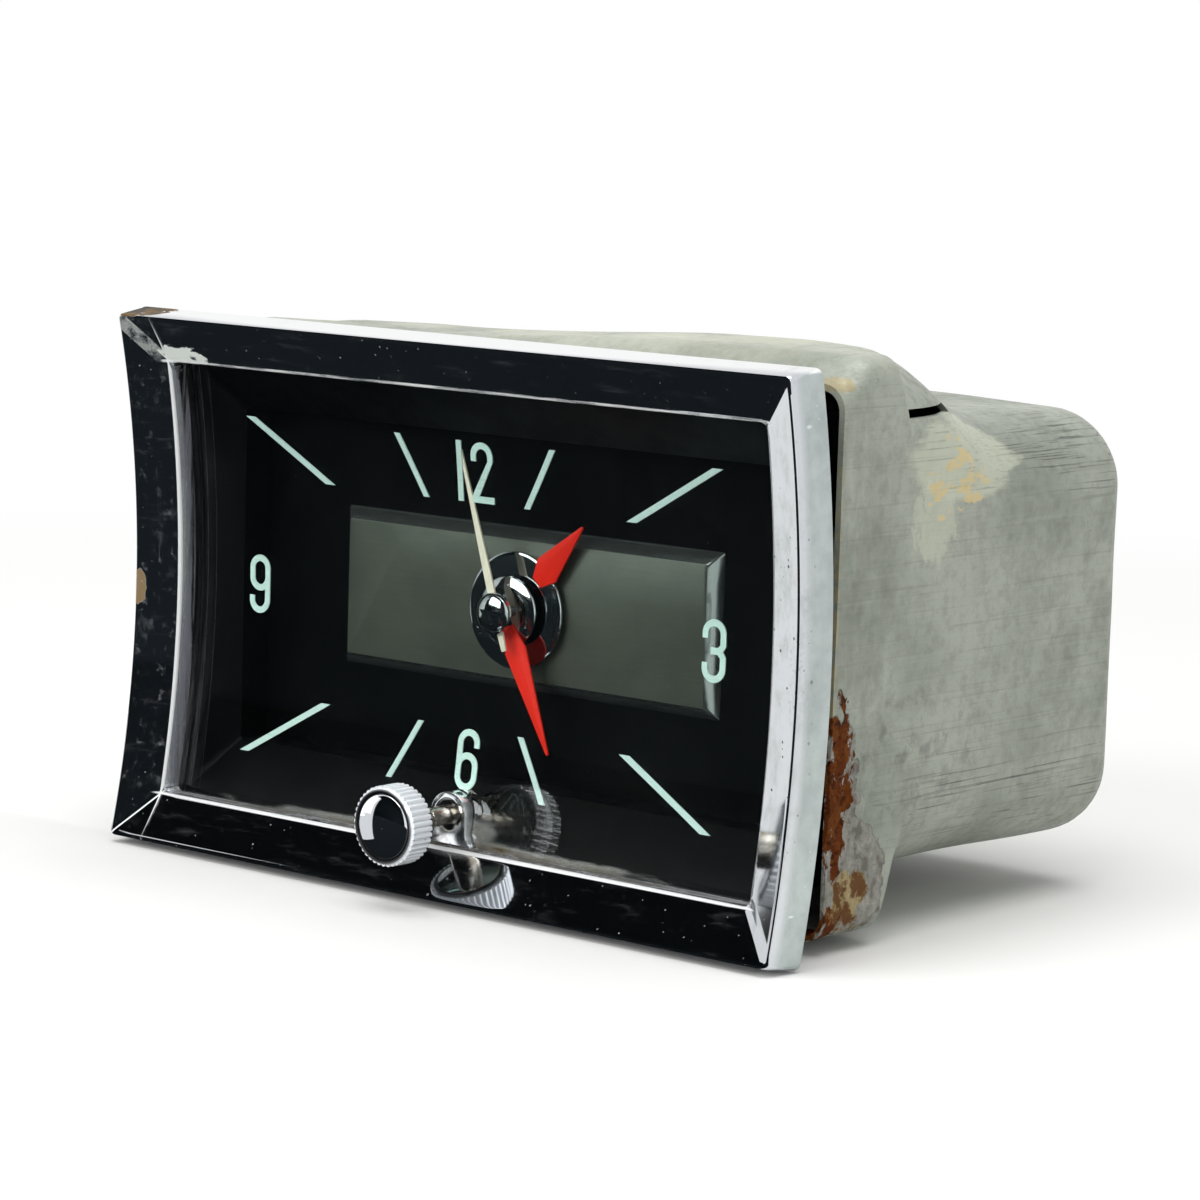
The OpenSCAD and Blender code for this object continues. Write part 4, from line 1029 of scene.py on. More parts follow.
@dataclass
class Face:
    """The bowed front: bezel, glass and stem bush."""

    width: float = 110.7
    height: float = 70.0
    bow: float = 4.1
    wall: float = 5.6
    bevel_w: float = 6.1
    bevel_d: float = 2.6
    bevel_slope: float = 24.0
    lip: float = 2.6
    glass: float = 1.5
    glass_lap: float = 1.9
    bush_w: float = 5.8
    bush_front: float = 5.6
    stem_drop: float = STEM_DROP
    stem_r: float = STEM_R
    crisp: float = 24.0

    def depth(self, z: float, back: float) -> float:
        """Depth of the bowed face at height z, set back by the given distance, in mm."""
        radius = ((self.height / 2) ** 2 + self.bow ** 2) / (2 * self.bow)
        return self.bow - radius + math.sqrt((radius + back) ** 2 - z * z)

    def bezel(self, finish: Material) -> Piece:
        """Builds the bezel frame.

        Args:
            finish: Its chrome.

        Returns:
            The piece.
        """
        # Inset from the outer rim, set-back and corner radius round the section, from the rear edge outwards
        seat = self.bevel_w - self.glass_lap - 0.2
        glass_at = self.bevel_d + self.lip
        slope = math.tan(math.radians(self.bevel_slope))
        section = [
            (-0.35, self.wall, 0.8), (-0.62, self.wall - 0.08, 0.9), (-0.78, self.wall - 0.3, 1.0),
            (-0.78, self.wall - 0.6, 1.0), (-0.66, self.wall - 1.0, 0.9), (-0.08, 0.6, 0.7),
            (-0.02, 0.32, 0.7), (0.06, 0.13, 0.7), (0.18, 0.03, 0.7), (0.3, 0.0, 0.6), (0.44, 0.01, 0.6),
            (0.56, 0.05, 0.6)]
        section += [(inset, 0.1 + slope * (inset - 0.7), 0.8) for inset in (0.7, 0.85, 3.0, 5.4, 5.6)]
        section += [
            (5.82, self.bevel_d - 0.2, 1.0), (5.98, self.bevel_d - 0.04, 1.1),
            (self.bevel_w, self.bevel_d + 0.3, 1.1), (self.bevel_w, glass_at, 1.1), (seat, glass_at, 0.6),
            (seat, glass_at + 0.6, 0.6)]
        rings = []
        for inset, back, corner in section:
            flat = ring_outline(self.width / 2 - inset, self.height / 2 - inset, corner, 40, 5)
            rings.append([at(x, self.depth(z, back), z) for x, z in flat])
        return loft("bezel_frame", rings, finish, sharp=self.crisp)

    def notch(self, z: float) -> float:
        """Half width of the bush's notch in the glass at height z, in mm."""
        half = self.bush_w / 2 + 0.15
        if z > -self.stem_drop:
            return math.sqrt(max(0.0, half * half - (z + self.stem_drop) ** 2))
        window = self.height / 2 - self.bevel_w
        return half + ease(-z, window - 1.8, window)

    def lens(self, finish: Material) -> Piece:
        """Builds the bent glass with the notch for the stem bush.

        Args:
            finish: Its glass.

        Returns:
            The piece.
        """
        half_x = self.width / 2 - self.bevel_w + self.glass_lap
        half_z = self.height / 2 - self.bevel_w + self.glass_lap
        front = self.bevel_d + self.lip
        arch = self.bush_w / 2 + 0.15
        heights = [-half_z + (half_z - self.stem_drop) * i / 10 for i in range(10)]
        heights += [-self.stem_drop + arch * math.sin(math.pi / 2 * i / 12) for i in range(12)]
        top = arch - self.stem_drop
        heights += [top + (half_z - top) * i / 56 for i in range(57)]
        columns = 12
        points, faces = [], []
        for side in (-1, 1):
            base = len(points)
            for z in heights:
                inner = self.notch(z)
                for i in range(columns + 1):
                    x = side * (inner + (half_x - inner) * i / columns)
                    points.append(at(x, self.depth(z, front), z))
            for j in range(len(heights) - 1):
                for i in range(columns):
                    a = base + j * (columns + 1) + i
                    quad = (a, a + 1, a + columns + 2, a + columns + 1)
                    faces.append(quad if side > 0 else quad[::-1])
        piece = mesh_piece("front_glass", points, faces, finish)
        sheet = piece.modifiers.new("sheet", "SOLIDIFY")
        sheet.thickness = self.glass * MM
        # The sheet grows to the rear, whichever way the faces point
        facing = sum(p.normal.y * p.area for p in piece.data.polygons)
        sheet.offset = 1.0 if facing > 0 else -1.0
        settle_modifiers(piece)
        # Light passes through the glass to the dial
        piece.visible_shadow = False
        return piece

    def bush(self, finish: Material) -> Piece:
        """Builds the arched stem bush with its flared foot.

        Args:
            finish: Its chrome.

        Returns:
            The piece.
        """
        half = self.bush_w / 2
        foot = self.height / 2 - self.bevel_w
        back = extent("stem_bush")[1][1]
        outline = [(half * math.cos(math.pi * i / 24), half * math.sin(math.pi * i / 24) - self.stem_drop)
                   for i in range(25)]
        curve = [(half + 1.0 * (i / 6) ** 2, -foot + 1.8 * (1 - i / 6)) for i in range(7)]
        outline += [(-x, z) for x, z in curve] + list(reversed(curve))
        piece = slab("stem_bush_arch", outline, self.bush_front, back, finish, edge=0.45)
        r, front = self.stem_r, self.bush_front
        hole = [(r + 0.95, 0.0), (r + 0.95, front + 0.7), (r + 0.5, front + 1.1), (r + 0.1, front + 1.2),
                (r + 0.1, back + 1.0)]
        carve(piece, lathe("cut", hole, finish, (0.0, -self.stem_drop), 64))
        return piece

    def build(self, aged: Material, chrome: Material, glass: Material) -> None:
        """Builds and settles the front pieces.

        Args:
            aged: Chrome of the bezel.
            chrome: Chrome of the bush.
            glass: The glass.
        """
        settle(self.bezel(aged), Body.CASE, Slot.CHROME, "bezel")
        settle(self.lens(glass), Body.CASE, Slot.GLASS, "lens")
        settle(self.bush(chrome), Body.CASE, Slot.CHROME, "stem_bush")


@dataclass
class Dial:
    """What lies behind the glass: the black mask and the raised panel."""

    opening_x: float = 46.4
    opening_z: float = 22.6
    opening_y: float = 16.3
    plate_y: float = 21.0
    wall: float = 1.0
    panel_hole: float = 2.5
    panel_crisp: float = 35.0
    cut_end: float = 30.0

    def mask(self, face: Face, finish: Material) -> Piece:
        """Builds the funnel-shaped mask between glass and dial.

        Args:
            face: The bowed front, whose curve its rim follows.
            finish: Its black.

        Returns:
            The piece.
        """
        back = face.bevel_d + face.lip + face.glass + 0.63
        out_x = face.width / 2 - face.bevel_w + face.glass_lap
        out_z = face.height / 2 - face.bevel_w + face.glass_lap
        in_x, in_z = out_x - face.glass_lap - 0.7, out_z - face.glass_lap - 0.5
        bowed = [(out_x, out_z, back), (in_x + 0.15, in_z + 0.15, back), (in_x, in_z, back + 0.15)]
        flat = [(self.opening_x + 0.12, self.opening_z + 0.12, self.opening_y - 0.1),
                (self.opening_x, self.opening_z, self.opening_y + 0.1),
                (self.opening_x, self.opening_z, self.plate_y),
                (self.opening_x + self.wall, self.opening_z + self.wall, self.plate_y),
                (self.opening_x + self.wall, self.opening_z + self.wall, self.opening_y + 0.6)]
        rear = [(in_x + self.wall, in_z + self.wall, back + self.wall), (out_x, out_z, back + self.wall)]
        rings = []
        for bends, rows in ((True, bowed), (False, flat), (True, rear)):
            for half_x, half_z, depth in rows:
                outline = ring_outline(half_x, half_z, 0.4, 40, 3)
                rings.append([at(x, face.depth(z, depth) if bends else depth, z) for x, z in outline])
        piece = loft("dial_mask_funnel", rings, finish, sharp=face.crisp)
        hole = face.stem_r + 0.45
        cutter = lathe("cut", [(hole, 0.0), (hole, self.cut_end)], finish, (0.0, -face.stem_drop), 48)
        carve(piece, cutter, face.crisp)
        return piece

    def panel(self, finish: Material) -> Piece:
        """Builds the raised centre panel with its chamfered edge.

        Args:
            finish: Its satin paint.

        Returns:
            The piece.
        """
        low, high = extent("dial_panel")
        half_x, half_z = high[0], high[2]
        rise = high[1] - low[1]
        rows = [(0.0, 0.0, 0.3), (0.1, 0.16, 0.35), (rise - 0.12, rise - 0.1, 0.5), (rise + 0.04, rise, 0.55)]
        rings = []
        for inset, lift, corner in rows:
            outline = ring_outline(half_x - inset, half_z - inset, corner, 6, 4)
            rings.append([at(x, self.plate_y - lift, z) for x, z in outline])
        piece = loft("dial_panel_plate", rings, finish, closed=False, sharp=self.panel_crisp)
        hole = self.panel_hole
        cutter = lathe("cut", [(hole, 0.0), (hole, self.cut_end)], finish, steps=48)
        carve(piece, cutter, self.panel_crisp)
        return piece

    def build(self, face: Face, black: Material, panel: Material) -> None:
        """Builds and settles the dial pieces.

        Args:
            face: The bowed front.
            black: Finish of the mask.
            panel: Finish of the panel.
        """
        settle(self.mask(face, black), Body.CASE, Slot.MASK, "dial_mask")
        settle(self.panel(panel), Body.CASE, Slot.PANEL, "dial_panel")


@dataclass
class Hands:
    """The three hands with their bright hubs, standing at the time that is shown."""

    hour: float = 1.4325
    hour_len: float = 16.3
    minute_len: float = 19.3
    second_len: float = 21.6
    hour_half: float = 2.05
    minute_half: float = 1.8
    edge: float = 0.07

    def turn(self, outline: Profile, degrees: float) -> list[tuple[float, float]]:
        """Turns an outline clockwise about the centre."""
        c, s = math.cos(math.radians(degrees)), math.sin(math.radians(degrees))
        return [(x * c + z * s, z * c - x * s) for x, z in outline]

    def tip(self, half: float, length: float) -> list[tuple[float, float]]:
        """Rounded end of a hand, from its right edge to its left one."""
        turns = [math.pi * i / 8 for i in range(9)]
        return [(half * math.cos(t), length - half + half * math.sin(t)) for t in turns]

    def span(self, node: str) -> tuple[float, float]:
        """Front and rear depth of a solid of the frame, in mm."""
        low, high = extent(node)
        return low[1], high[1]

    def blade(self, node: str, outline: Profile, degrees: float, finish: Material) -> Piece:
        """Cuts a hand from sheet in the place of its solid.

        Args:
            node: Solid that gives the depth.
            outline: Its outline at twelve.
            degrees: How far it is turned.
            finish: Its paint.

        Returns:
            The piece.
        """
        front, back = self.span(node)
        return slab(node + "_blade", self.turn(outline, degrees), front, back, finish, self.edge)

    def build(self, red: Material, cream: Material, chrome: Material) -> None:
        """Builds and settles hands and hubs.

        Args:
            red: Paint of the hour and minute hands.
            cream: Paint of the seconds hand.
            chrome: Plate of the hubs.
        """
        minutes = self.hour % 1 * 360
        seconds = self.hour * 60 % 1 * 360
        w = self.hour_half
        hour = [(-w, 8.0), (-0.9, 5.6), (0.9, 5.6), (w, 8.0)] + self.tip(0.22, self.hour_len)
        w = self.minute_half
        minute = [(-w, 5.2), (-0.75, 1.9), (0.75, 1.9), (w, 5.2)] + self.tip(0.22, self.minute_len)
        second = [(-0.6, 6.0), (-0.65, 0.0), (-0.38, -5.0), (0.38, -5.0), (0.65, 0.0), (0.6, 6.0)]
        second += self.tip(0.2, self.second_len)
        for node, outline, degrees, paint, body, slot in (
                ("hour_hand", hour, self.hour * 30, red, Body.HOUR, Slot.RED),
                ("minute_hand", minute, minutes, red, Body.MINUTE, Slot.RED),
                ("seconds_hand", second, seconds, cream, Body.SECONDS, Slot.CREAM)):
            settle(self.blade(node, outline, degrees, paint), body, slot, node)
        settle(self.hour_hub(chrome), Body.HOUR, Slot.CHROME, "hour_boss")
        settle(self.minute_hub(chrome), Body.MINUTE, Slot.CHROME, "minute_boss")
        settle(self.cap(chrome), Body.SECONDS, Slot.CHROME, "seconds_cap")

    def hour_hub(self, finish: Material) -> Piece:
        """Turns the flat disc behind the hour hand."""
        front, back = self.span("hour_boss")
        r = extent("hour_boss")[1][0]
        profile = [(1.92, back), (r - 0.05, back), (r, back - 0.06), (r, front + 0.24),
                   (r - 0.08, front + 0.12), (r - 0.22, front + 0.05), (r - 0.5, front + 0.02), (3.0, front),
                   (1.92, front)]
        return lathe("hour_hub_disc", profile, finish, steps=128, closed=True)

    def minute_hub(self, finish: Material) -> Piece:
        """Turns the dished disc behind the minute hand."""
        front, back = self.span("minute_boss")
        r = extent("minute_boss")[1][0]
        mid = back - 0.7
        profile = [(1.27, back), (2.0, back), (2.0, mid), (r - 0.04, mid), (r, mid - 0.05), (r, mid - 0.22),
                   (r - 0.06, mid - 0.3)]
        profile += [(r * (0.97 - 0.39 * t), mid - 0.34 - 0.41 * math.sin(t * math.pi / 2)) for t in
                    (i / 8 for i in range(9))]
        profile += [(1.27, front)]
        return lathe("minute_hub_disc", profile, finish, steps=128, closed=True)

    def cap(self, finish: Material) -> Piece:
        """Turns the domed cap of the seconds hand."""
        front, back = self.span("seconds_cap")
        r = extent("seconds_cap")[1][0]
        rise = back - 0.3 - front
        profile = [(0.66, back), (r - 0.05, back), (r, back - 0.06), (r, back - 0.28)]
        profile += [(r * math.cos(t), back - 0.3 - rise * math.sin(t)) for t in
                    (math.pi / 2 * i / 16 for i in range(1, 16))]
        profile += [(0.02, front)]
        return lathe("seconds_hub_cap", profile, finish, steps=96)


@dataclass
class SettingKnob:
    """The fluted knob with its domed button on the setting stem."""

    drop: float = STEM_DROP
    stem_r: float = STEM_R
    flutes: int = 40
    flute_r: float = 0.34
    dome_inset: float = 0.9
    dome_side: float = 0.75
    shoulder: float = 1.4

    def flute_tree(self, finish: Material) -> Tree:
        """Builds the node tree that sets ribs round a circle.

        Args:
            finish: Material of the ribs.

        Returns:
            The tree, with inputs Count, Circle, Rib and Length.
        """
        tree, given = start_tree("knob_flutes", Count="Int", Circle="Float", Rib="Float", Length="Float")
        circle = add_node(tree, "GeometryNodeMeshCircle", {
            "Vertices": given["Count"], "Radius": given["Circle"]})
        rib = add_node(tree, "GeometryNodeMeshCylinder", {
            "Vertices": 14, "Radius": given["Rib"], "Depth": given["Length"]})
        spread = add_node(tree, "GeometryNodeInstanceOnPoints", {
            "Points": circle.outputs[0], "Instance": rib.outputs[0]})
        return end_tree(tree, spread, finish)

    def skirt(self, chrome: Material) -> Piece:
        """Builds the fluted knob with its rolled front rim.

        Args:
            chrome: Its plate.

        Returns:
            The piece.
        """
        (_, front, _), (r, back, _) = extent("setting_knob")
        core = r - 0.32
        rim = [(r - 0.86, front + 1.15), (r - 0.84, front + 0.3), (r - 0.78, front + 0.06), (r - 0.66, front),
               (r - 0.5, front + 0.02), (core - 0.04, front + 0.18), (core, front + 0.4), (core, back - 0.4),
               (core - 0.2, back - 0.1), (core - 0.5, back), (1.3, back), (1.3, front + 1.15)]
        body = lathe("knob_skirt", rim, chrome, (0.0, -self.drop), 160, closed=True)
        ribs = grow("knob_ribs", self.flute_tree(chrome), {
            "Count": self.flutes, "Circle": (r - self.flute_r) * MM, "Rib": self.flute_r * MM,
            "Length": (back - front - 0.7) * MM})
        middle = at(0.0, (front + 0.4 + back - 0.3) / 2, -self.drop)
        ribs.data.transform(Matrix.Translation(middle) @ Matrix.Rotation(math.pi / 2, 4, "X"))
        return join([body, ribs])

    def dome(self, chrome: Material) -> Piece:
        """Turns the domed button, a little wider than its solid.

        Args:
            chrome: Its plate.

        Returns:
            The piece.
        """
        (_, front, _), (_, back, _) = extent("knob_button")
        r = extent("setting_knob")[1][0] - self.dome_inset
        edge = back - self.dome_side
        turns = [math.pi / 2 * i / 18 for i in range(1, 18)]
        profile = [(r, back), (r, edge)]
        profile += [(r * math.cos(t), edge - (edge - front) * math.sin(t)) for t in turns]
        profile += [(0.02, front)]
        return lathe("knob_dome", profile, chrome, (0.0, -self.drop), 128)

    def stem(self, steel: Material) -> Piece:
        """Turns the stem with its thicker neck behind the knob.

        Args:
            steel: Its metal.

        Returns:
            The piece.
        """
        (_, front, _), (neck, back, _) = extent("setting_stem")
        r, shoulder = self.stem_r, self.shoulder
        bar = [(neck, front), (neck, shoulder - 0.3), (neck - 0.08, shoulder - 0.1), (neck - 0.25, shoulder),
               (r, shoulder), (r, back - 0.3), (r - 0.3, back)]
        return lathe("setting_stem_bar", bar, steel, (0.0, -self.drop), 64)

    def build(self, chrome: Material, steel: Material) -> None:
        """Builds and settles knob, button and stem.

        Args:
            chrome: Plate of knob and button.
            steel: Finish of the stem.
        """
        settle(self.skirt(chrome), Body.KNOB, Slot.CHROME, "setting_knob")
        settle(self.dome(chrome), Body.KNOB, Slot.CHROME, "knob_button")
        settle(self.stem(steel), Body.KNOB, Slot.STEM, "setting_stem")


@dataclass
class CaseCan:
    """The drawn case with its shoulder and step, and what stands on its rear."""

    width: float = 107.6
    front: float = 13.3
    rim_top: float = 33.2
    rim_rise: float = 7.5
    shoulder_top: float = 36.3
    shoulder_dip: float = 2.2
    shoulder_bottom: float = 34.3
    shoulder_r: float = 3.3
    low: float = 27.2
    step: float = 35.5
    step_len: float = 24.7
    step_lead: float = 7.6
    fold_lead: float = 7.0
    lead_w: float = 24.4
    step_r: float = 12.8
    rear_top: float = 26.7
    rear_bottom: float = 29.2
    rear_r: float = 9.6
    edge_r: float = 6.2
    crown: float = 1.2
    sheet: float = 0.8
    slot_len: float = 14.0
    slot_h: float = 1.1
    slot_rise: float = 1.75
    slot_lead: float = 0.7
    dent: float = 0.12
    dent_size: float = 11.0
    crust: float = 0.8
    crust_at: Point = (53.0, 17.0, -23.0)
    crust_reach: Point = (7.0, 8.5, 15.0)
    lump_size: float = 3.0
    crumb_size: float = 1.1
    crisp: float = 40.0
    stud_pitch: float = 0.8
    post_pitch: float = 0.7
    post_r: float = 1.9

    def top(self, y: float, x: float) -> float:
        """Height of the case top at a depth and side distance, in mm."""
        lead = self.step_lead * ease(abs(x), self.width / 2 - self.lead_w, self.width / 2)
        rise = (self.shoulder_top - self.rim_top) * ease(y, self.front, self.front + self.rim_rise)
        return self.rim_top + rise + (self.rear_top - self.shoulder_top) * ease(
            y + lead, self.step, self.step + self.step_len)

    def ring(self, y: float, inside: float) -> list[Point]:
        """Outline of the case at a depth.

        Args:
            y: Depth in mm.
            inside: How far inside the outer face, in mm.

        Returns:
            Points in mm.
        """
        into = max(0.0, y - (CLOCK_DEPTH - self.edge_r))
        bend = self.edge_r - inside
        gap = inside + (bend - math.sqrt(max(0.0, bend * bend - into * into)) if into > 0 else 0.0)
        stepped = ease(y, self.step, self.step + self.step_len)
        low = self.shoulder_bottom
        low += (self.rear_bottom - self.shoulder_bottom) * ease(y, self.low - 1, self.low + 6)
        fold = self.step - self.fold_lead
        radius = self.shoulder_r + (self.step_r - self.shoulder_r) * ease(y, fold - 4, fold)
        radius += (self.rear_r - self.step_r) * ease(y, self.step + 9, CLOCK_DEPTH - self.edge_r)
        half = self.width / 2 - gap
        high = self.top(y, 0.0) - gap
        middle, tall = (high - (low - gap)) / 2, (high + low - gap) / 2
        outline = ring_outline(half, tall, max(1.0, radius - gap), 46, 14)
        points = []
        for x, z in outline:
            z += middle
            share = max(0.0, z / high)
            lift = self.crown * stepped * (1 - (x / half) ** 2) + self.top(y, x) - self.top(y, 0.0)
            lift -= self.shoulder_dip * (1 - stepped) * ease(-x, -self.width / 4, self.width / 4)
            points.append((x, y, z + share * lift))
        return points

    def weather(self, point: Point) -> Vector:
        """Adds shallow dents all over and crust at the lower front corner.

        Args:
            point: Place on the outer face, in mm.

        Returns:
            The frame point.
        """
        place = Vector(point)
        out = Vector((place.x, 0.0, place.z * 1.2)).normalized()
        push = self.dent * noise.noise(place / self.dent_size)
        patch = Vector([(p - c) / r for p, c, r in zip(place, self.crust_at, self.crust_reach)]).length
        rough = noise.noise(place / self.lump_size) + 0.5 * noise.noise(place / self.crumb_size) - 0.35
        push += self.crust * ease(-patch, -1.0, -0.5) * rough
        return at(*(place + out * push))

    def shell(self, finish: Material) -> Piece:
        """Builds the case.

        Args:
            finish: Its zinc.

        Returns:
            The piece.
        """
        bend = CLOCK_DEPTH - self.edge_r
        depths = [self.front + 0.6 * i for i in range(60)]
        depths += [depths[-1] + (bend - depths[-1]) * i / 12 for i in range(1, 13)]
        turns = [math.pi / 2 * i / 10 for i in range(1, 11)]
        outer, inner = [], []
        for wall, skin in ((0.0, outer), (self.sheet, inner)):
            rounding = [bend + (self.edge_r - wall) * math.sin(t) for t in turns]
            skin += [self.ring(y, wall) for y in depths + rounding]
        rings = [[at(*p) for p in ring] for ring in reversed(inner)]
        rings += [[self.weather(p) for p in ring] for ring in outer]
        piece = loft("case_shell", rings, finish, closed=False, sharp=self.crisp)
        low = self.rear_top + self.slot_rise
        left, right = self.width / 2 - 9, self.width / 2 + 3
        box = [(left, low), (right, low), (right, low + self.slot_h), (left, low + self.slot_h)]
        start = self.step - self.step_lead - self.slot_lead
        carve(piece, slab("cut", box, start, start + self.slot_len, finish), self.crisp)
        return piece

    def thread_tree(self, finish: Material) -> Tree:
        """Builds the node tree of a screw thread: a ridge swept along a spiral.

        Args:
            finish: Material of the ridge.

        Returns:
            The tree, with inputs Radius, Turns, Length and Ridge.
        """
        tree, given = start_tree("screw_thread", Radius="Float", Turns="Float", Length="Float", Ridge="Float")
        path = add_node(tree, "GeometryNodeCurveSpiral", {
            "Resolution": 32, "Rotations": given["Turns"], "Start Radius": given["Radius"],
            "End Radius": given["Radius"], "Height": given["Length"]})
        # Without this the section would turn on its way along the spiral
        upright = add_node(tree, "GeometryNodeSetCurveNormal", {"Curve": path.outputs[0]}, mode="Z_UP")
        section = add_node(tree, "GeometryNodeCurvePrimitiveCircle", {
            "Resolution": 4, "Radius": given["Ridge"]})
        ridge = add_node(tree, "GeometryNodeCurveToMesh", {
            "Curve": upright.outputs[0], "Profile Curve": section.outputs[0], "Fill Caps": True})
        return end_tree(tree, ridge, finish)

    def rod(self, name: str, centre: tuple[float, float], radius: float, start: float, end: float,
            pitch: float, finish: Material) -> Piece:
        """Turns a threaded rod along the depth.

        Args:
            name: Name of the piece.
            centre: Side and height of its axis, in mm.
            radius: Radius over the thread, in mm.
            start: Depth where it begins, in mm.
            end: Depth where it ends, in mm.
            pitch: Pitch of the thread, in mm.
            finish: Its metal.

        Returns:
            The piece.
        """
        ridge, chamfer = pitch * 0.42, 0.5
        core = radius - ridge
        bar = lathe(name, [(core, start), (core, end - chamfer), (core - chamfer, end)], finish, centre, 48)
        # The thread begins after the chamfer and stops clear of the end
        length = end - start - 1.4
        thread = grow(name + "_thread", self.thread_tree(finish), {
            "Radius": core * MM, "Turns": length / pitch, "Length": length * MM, "Ridge": ridge * MM})
        thread.data.transform(Matrix.Translation(at(centre[0], start + chamfer, centre[1]))
                              @ Matrix.Rotation(-math.pi / 2, 4, "X"))
        return join([bar, thread])

    def build(self, zinc: Material, steel: Material, brass: Material) -> None:
        """Builds and settles case, studs and terminal.

        Args:
            zinc: Finish of the case.
            steel: Finish of the studs.
            brass: Finish of the terminal.
        """
        settle(self.shell(zinc), Body.CASE, Slot.CASE, "case_can")
        _, (side, end, radius) = extent("mounting_studs")
        studs = [self.rod(f"mounting_stud_{i}", (way * (side - radius), 0.0), radius, CLOCK_DEPTH, end,
                          self.stud_pitch, steel) for i, way in enumerate((-1, 1))]
        settle(join(studs), Body.CASE, Slot.STUD, "mounting_studs")
        low, high = extent("terminal_post")
        middle = ((low[0] + high[0]) / 2, (low[2] + high[2]) / 2)
        inside = CLOCK_DEPTH - 4.0
        post = self.rod("terminal_screw", middle, self.post_r, inside, high[1], self.post_pitch, brass)
        head = lathe("terminal_head", [(high[0], low[1]), (high[0], inside + 0.6)], brass, middle, 48)
        settle(join([post, head]), Body.CASE, Slot.BRASS, "terminal_post")


@dataclass(frozen=True)
class Movement:
    """The works and the small pieces that stay as the solids they are, listed by what they are made of."""

    printed: Names = ("hour_batons", "hour_numerals")
    lacquer: Names = ("dial_plate",)
    rubber: Names = ("lens_gasket",)
    resin: Names = ("terminal_insulator",)
    leather: Names = ("friction_disc",)
    copper: Names = ("magnet_coil",)
    iron: Names = ("magnet_core", "winding_arm")
    tin: Names = ("lamp_socket", "bezel_tabs")
    bulb: Names = ("lamp_bulb",)
    brass: Names = (
        "front_plate", "rear_plate", "plate_pillars", "dial_feet", "balance_cock", "cannon_pinion",
        "centre_wheel", "hour_wheel", "minute_wheel", "setting_wheel", "third_wheel", "fourth_wheel",
        "escape_wheel", "balance_wheel", "terminal_nut")
    steel: Names = (
        "dial_screws", "pillar_screws", "wheel_posts", "rear_posts", "case_screws", "cock_screw",
        "ratchet_wheel", "third_arbor", "seconds_arbor", "escape_arbor", "pallet_fork", "balance_staff",
        "stem_collar", "hairspring", "stem_spring")

    def dress(self, brass: Material) -> None:
        """Makes the finishes and gives each solid its own.

        Args:
            brass: Finish of plates and wheels.
        """
        dress(brass, *self.brass)
        # Screen print: pale mint, even and without shine
        dress(SatinPaint("mint_print", "#D2F0E7", shade="#9FC4B8", sheen=0.5, dust_share=0.0,
                         grain_share=0.2).make(), *self.printed)
        # Dial lacquer: blacker and a little smoother than the mask
        dress(SatinPaint("black_dial_lacquer", "#050607", sheen=0.4, gloss=0.15, dust_share=0.25).make(),
              *self.lacquer)
        # Rubber: black, without shine and dusty
        dress(SatinPaint("black_rubber", "#141516", sheen=0.7, dust_share=0.3).make(), *self.rubber)
        # Moulded resin: brown, with a soft gloss
        dress(SatinPaint("brown_moulded_resin", "#5A3A22", sheen=0.35, dust_share=0.2).make(), *self.resin)
        # Leather: brown and dry
        dress(SatinPaint("friction_leather", "#4A3B30", sheen=0.75, dust_share=0.1).make(), *self.leather)
        # Enamelled wire: red-brown varnish, ribbed by the turns of the coil
        dress(TurnedMetal("enamelled_copper_wire", "#8A4524", "#5A2A16", shine=0.25, metal=0.6,
                          grain=(6.0, 6.0, 0.3)).make(), *self.copper)
        # Soft iron: dark grey, almost without shine
        dress(TurnedMetal("soft_iron", "#73767A", "#4A463F", shine=0.45).make(), *self.iron)
        # Tinned sheet: warm grey, softly bright
        dress(TurnedMetal("tinned_sheet", "#B9B59E", "#7E7A66", shine=0.35).make(), *self.tin)
        # Blown glass: clear, a little warm
        dress(ClearGlass(name="bulb_glass", tint="#F2EFE2").make(), *self.bulb)
        # Turned steel: grey, with fine tool marks
        dress(TurnedMetal("machined_steel", "#B4B6B8", "#6E6A62").make(), *self.steel)


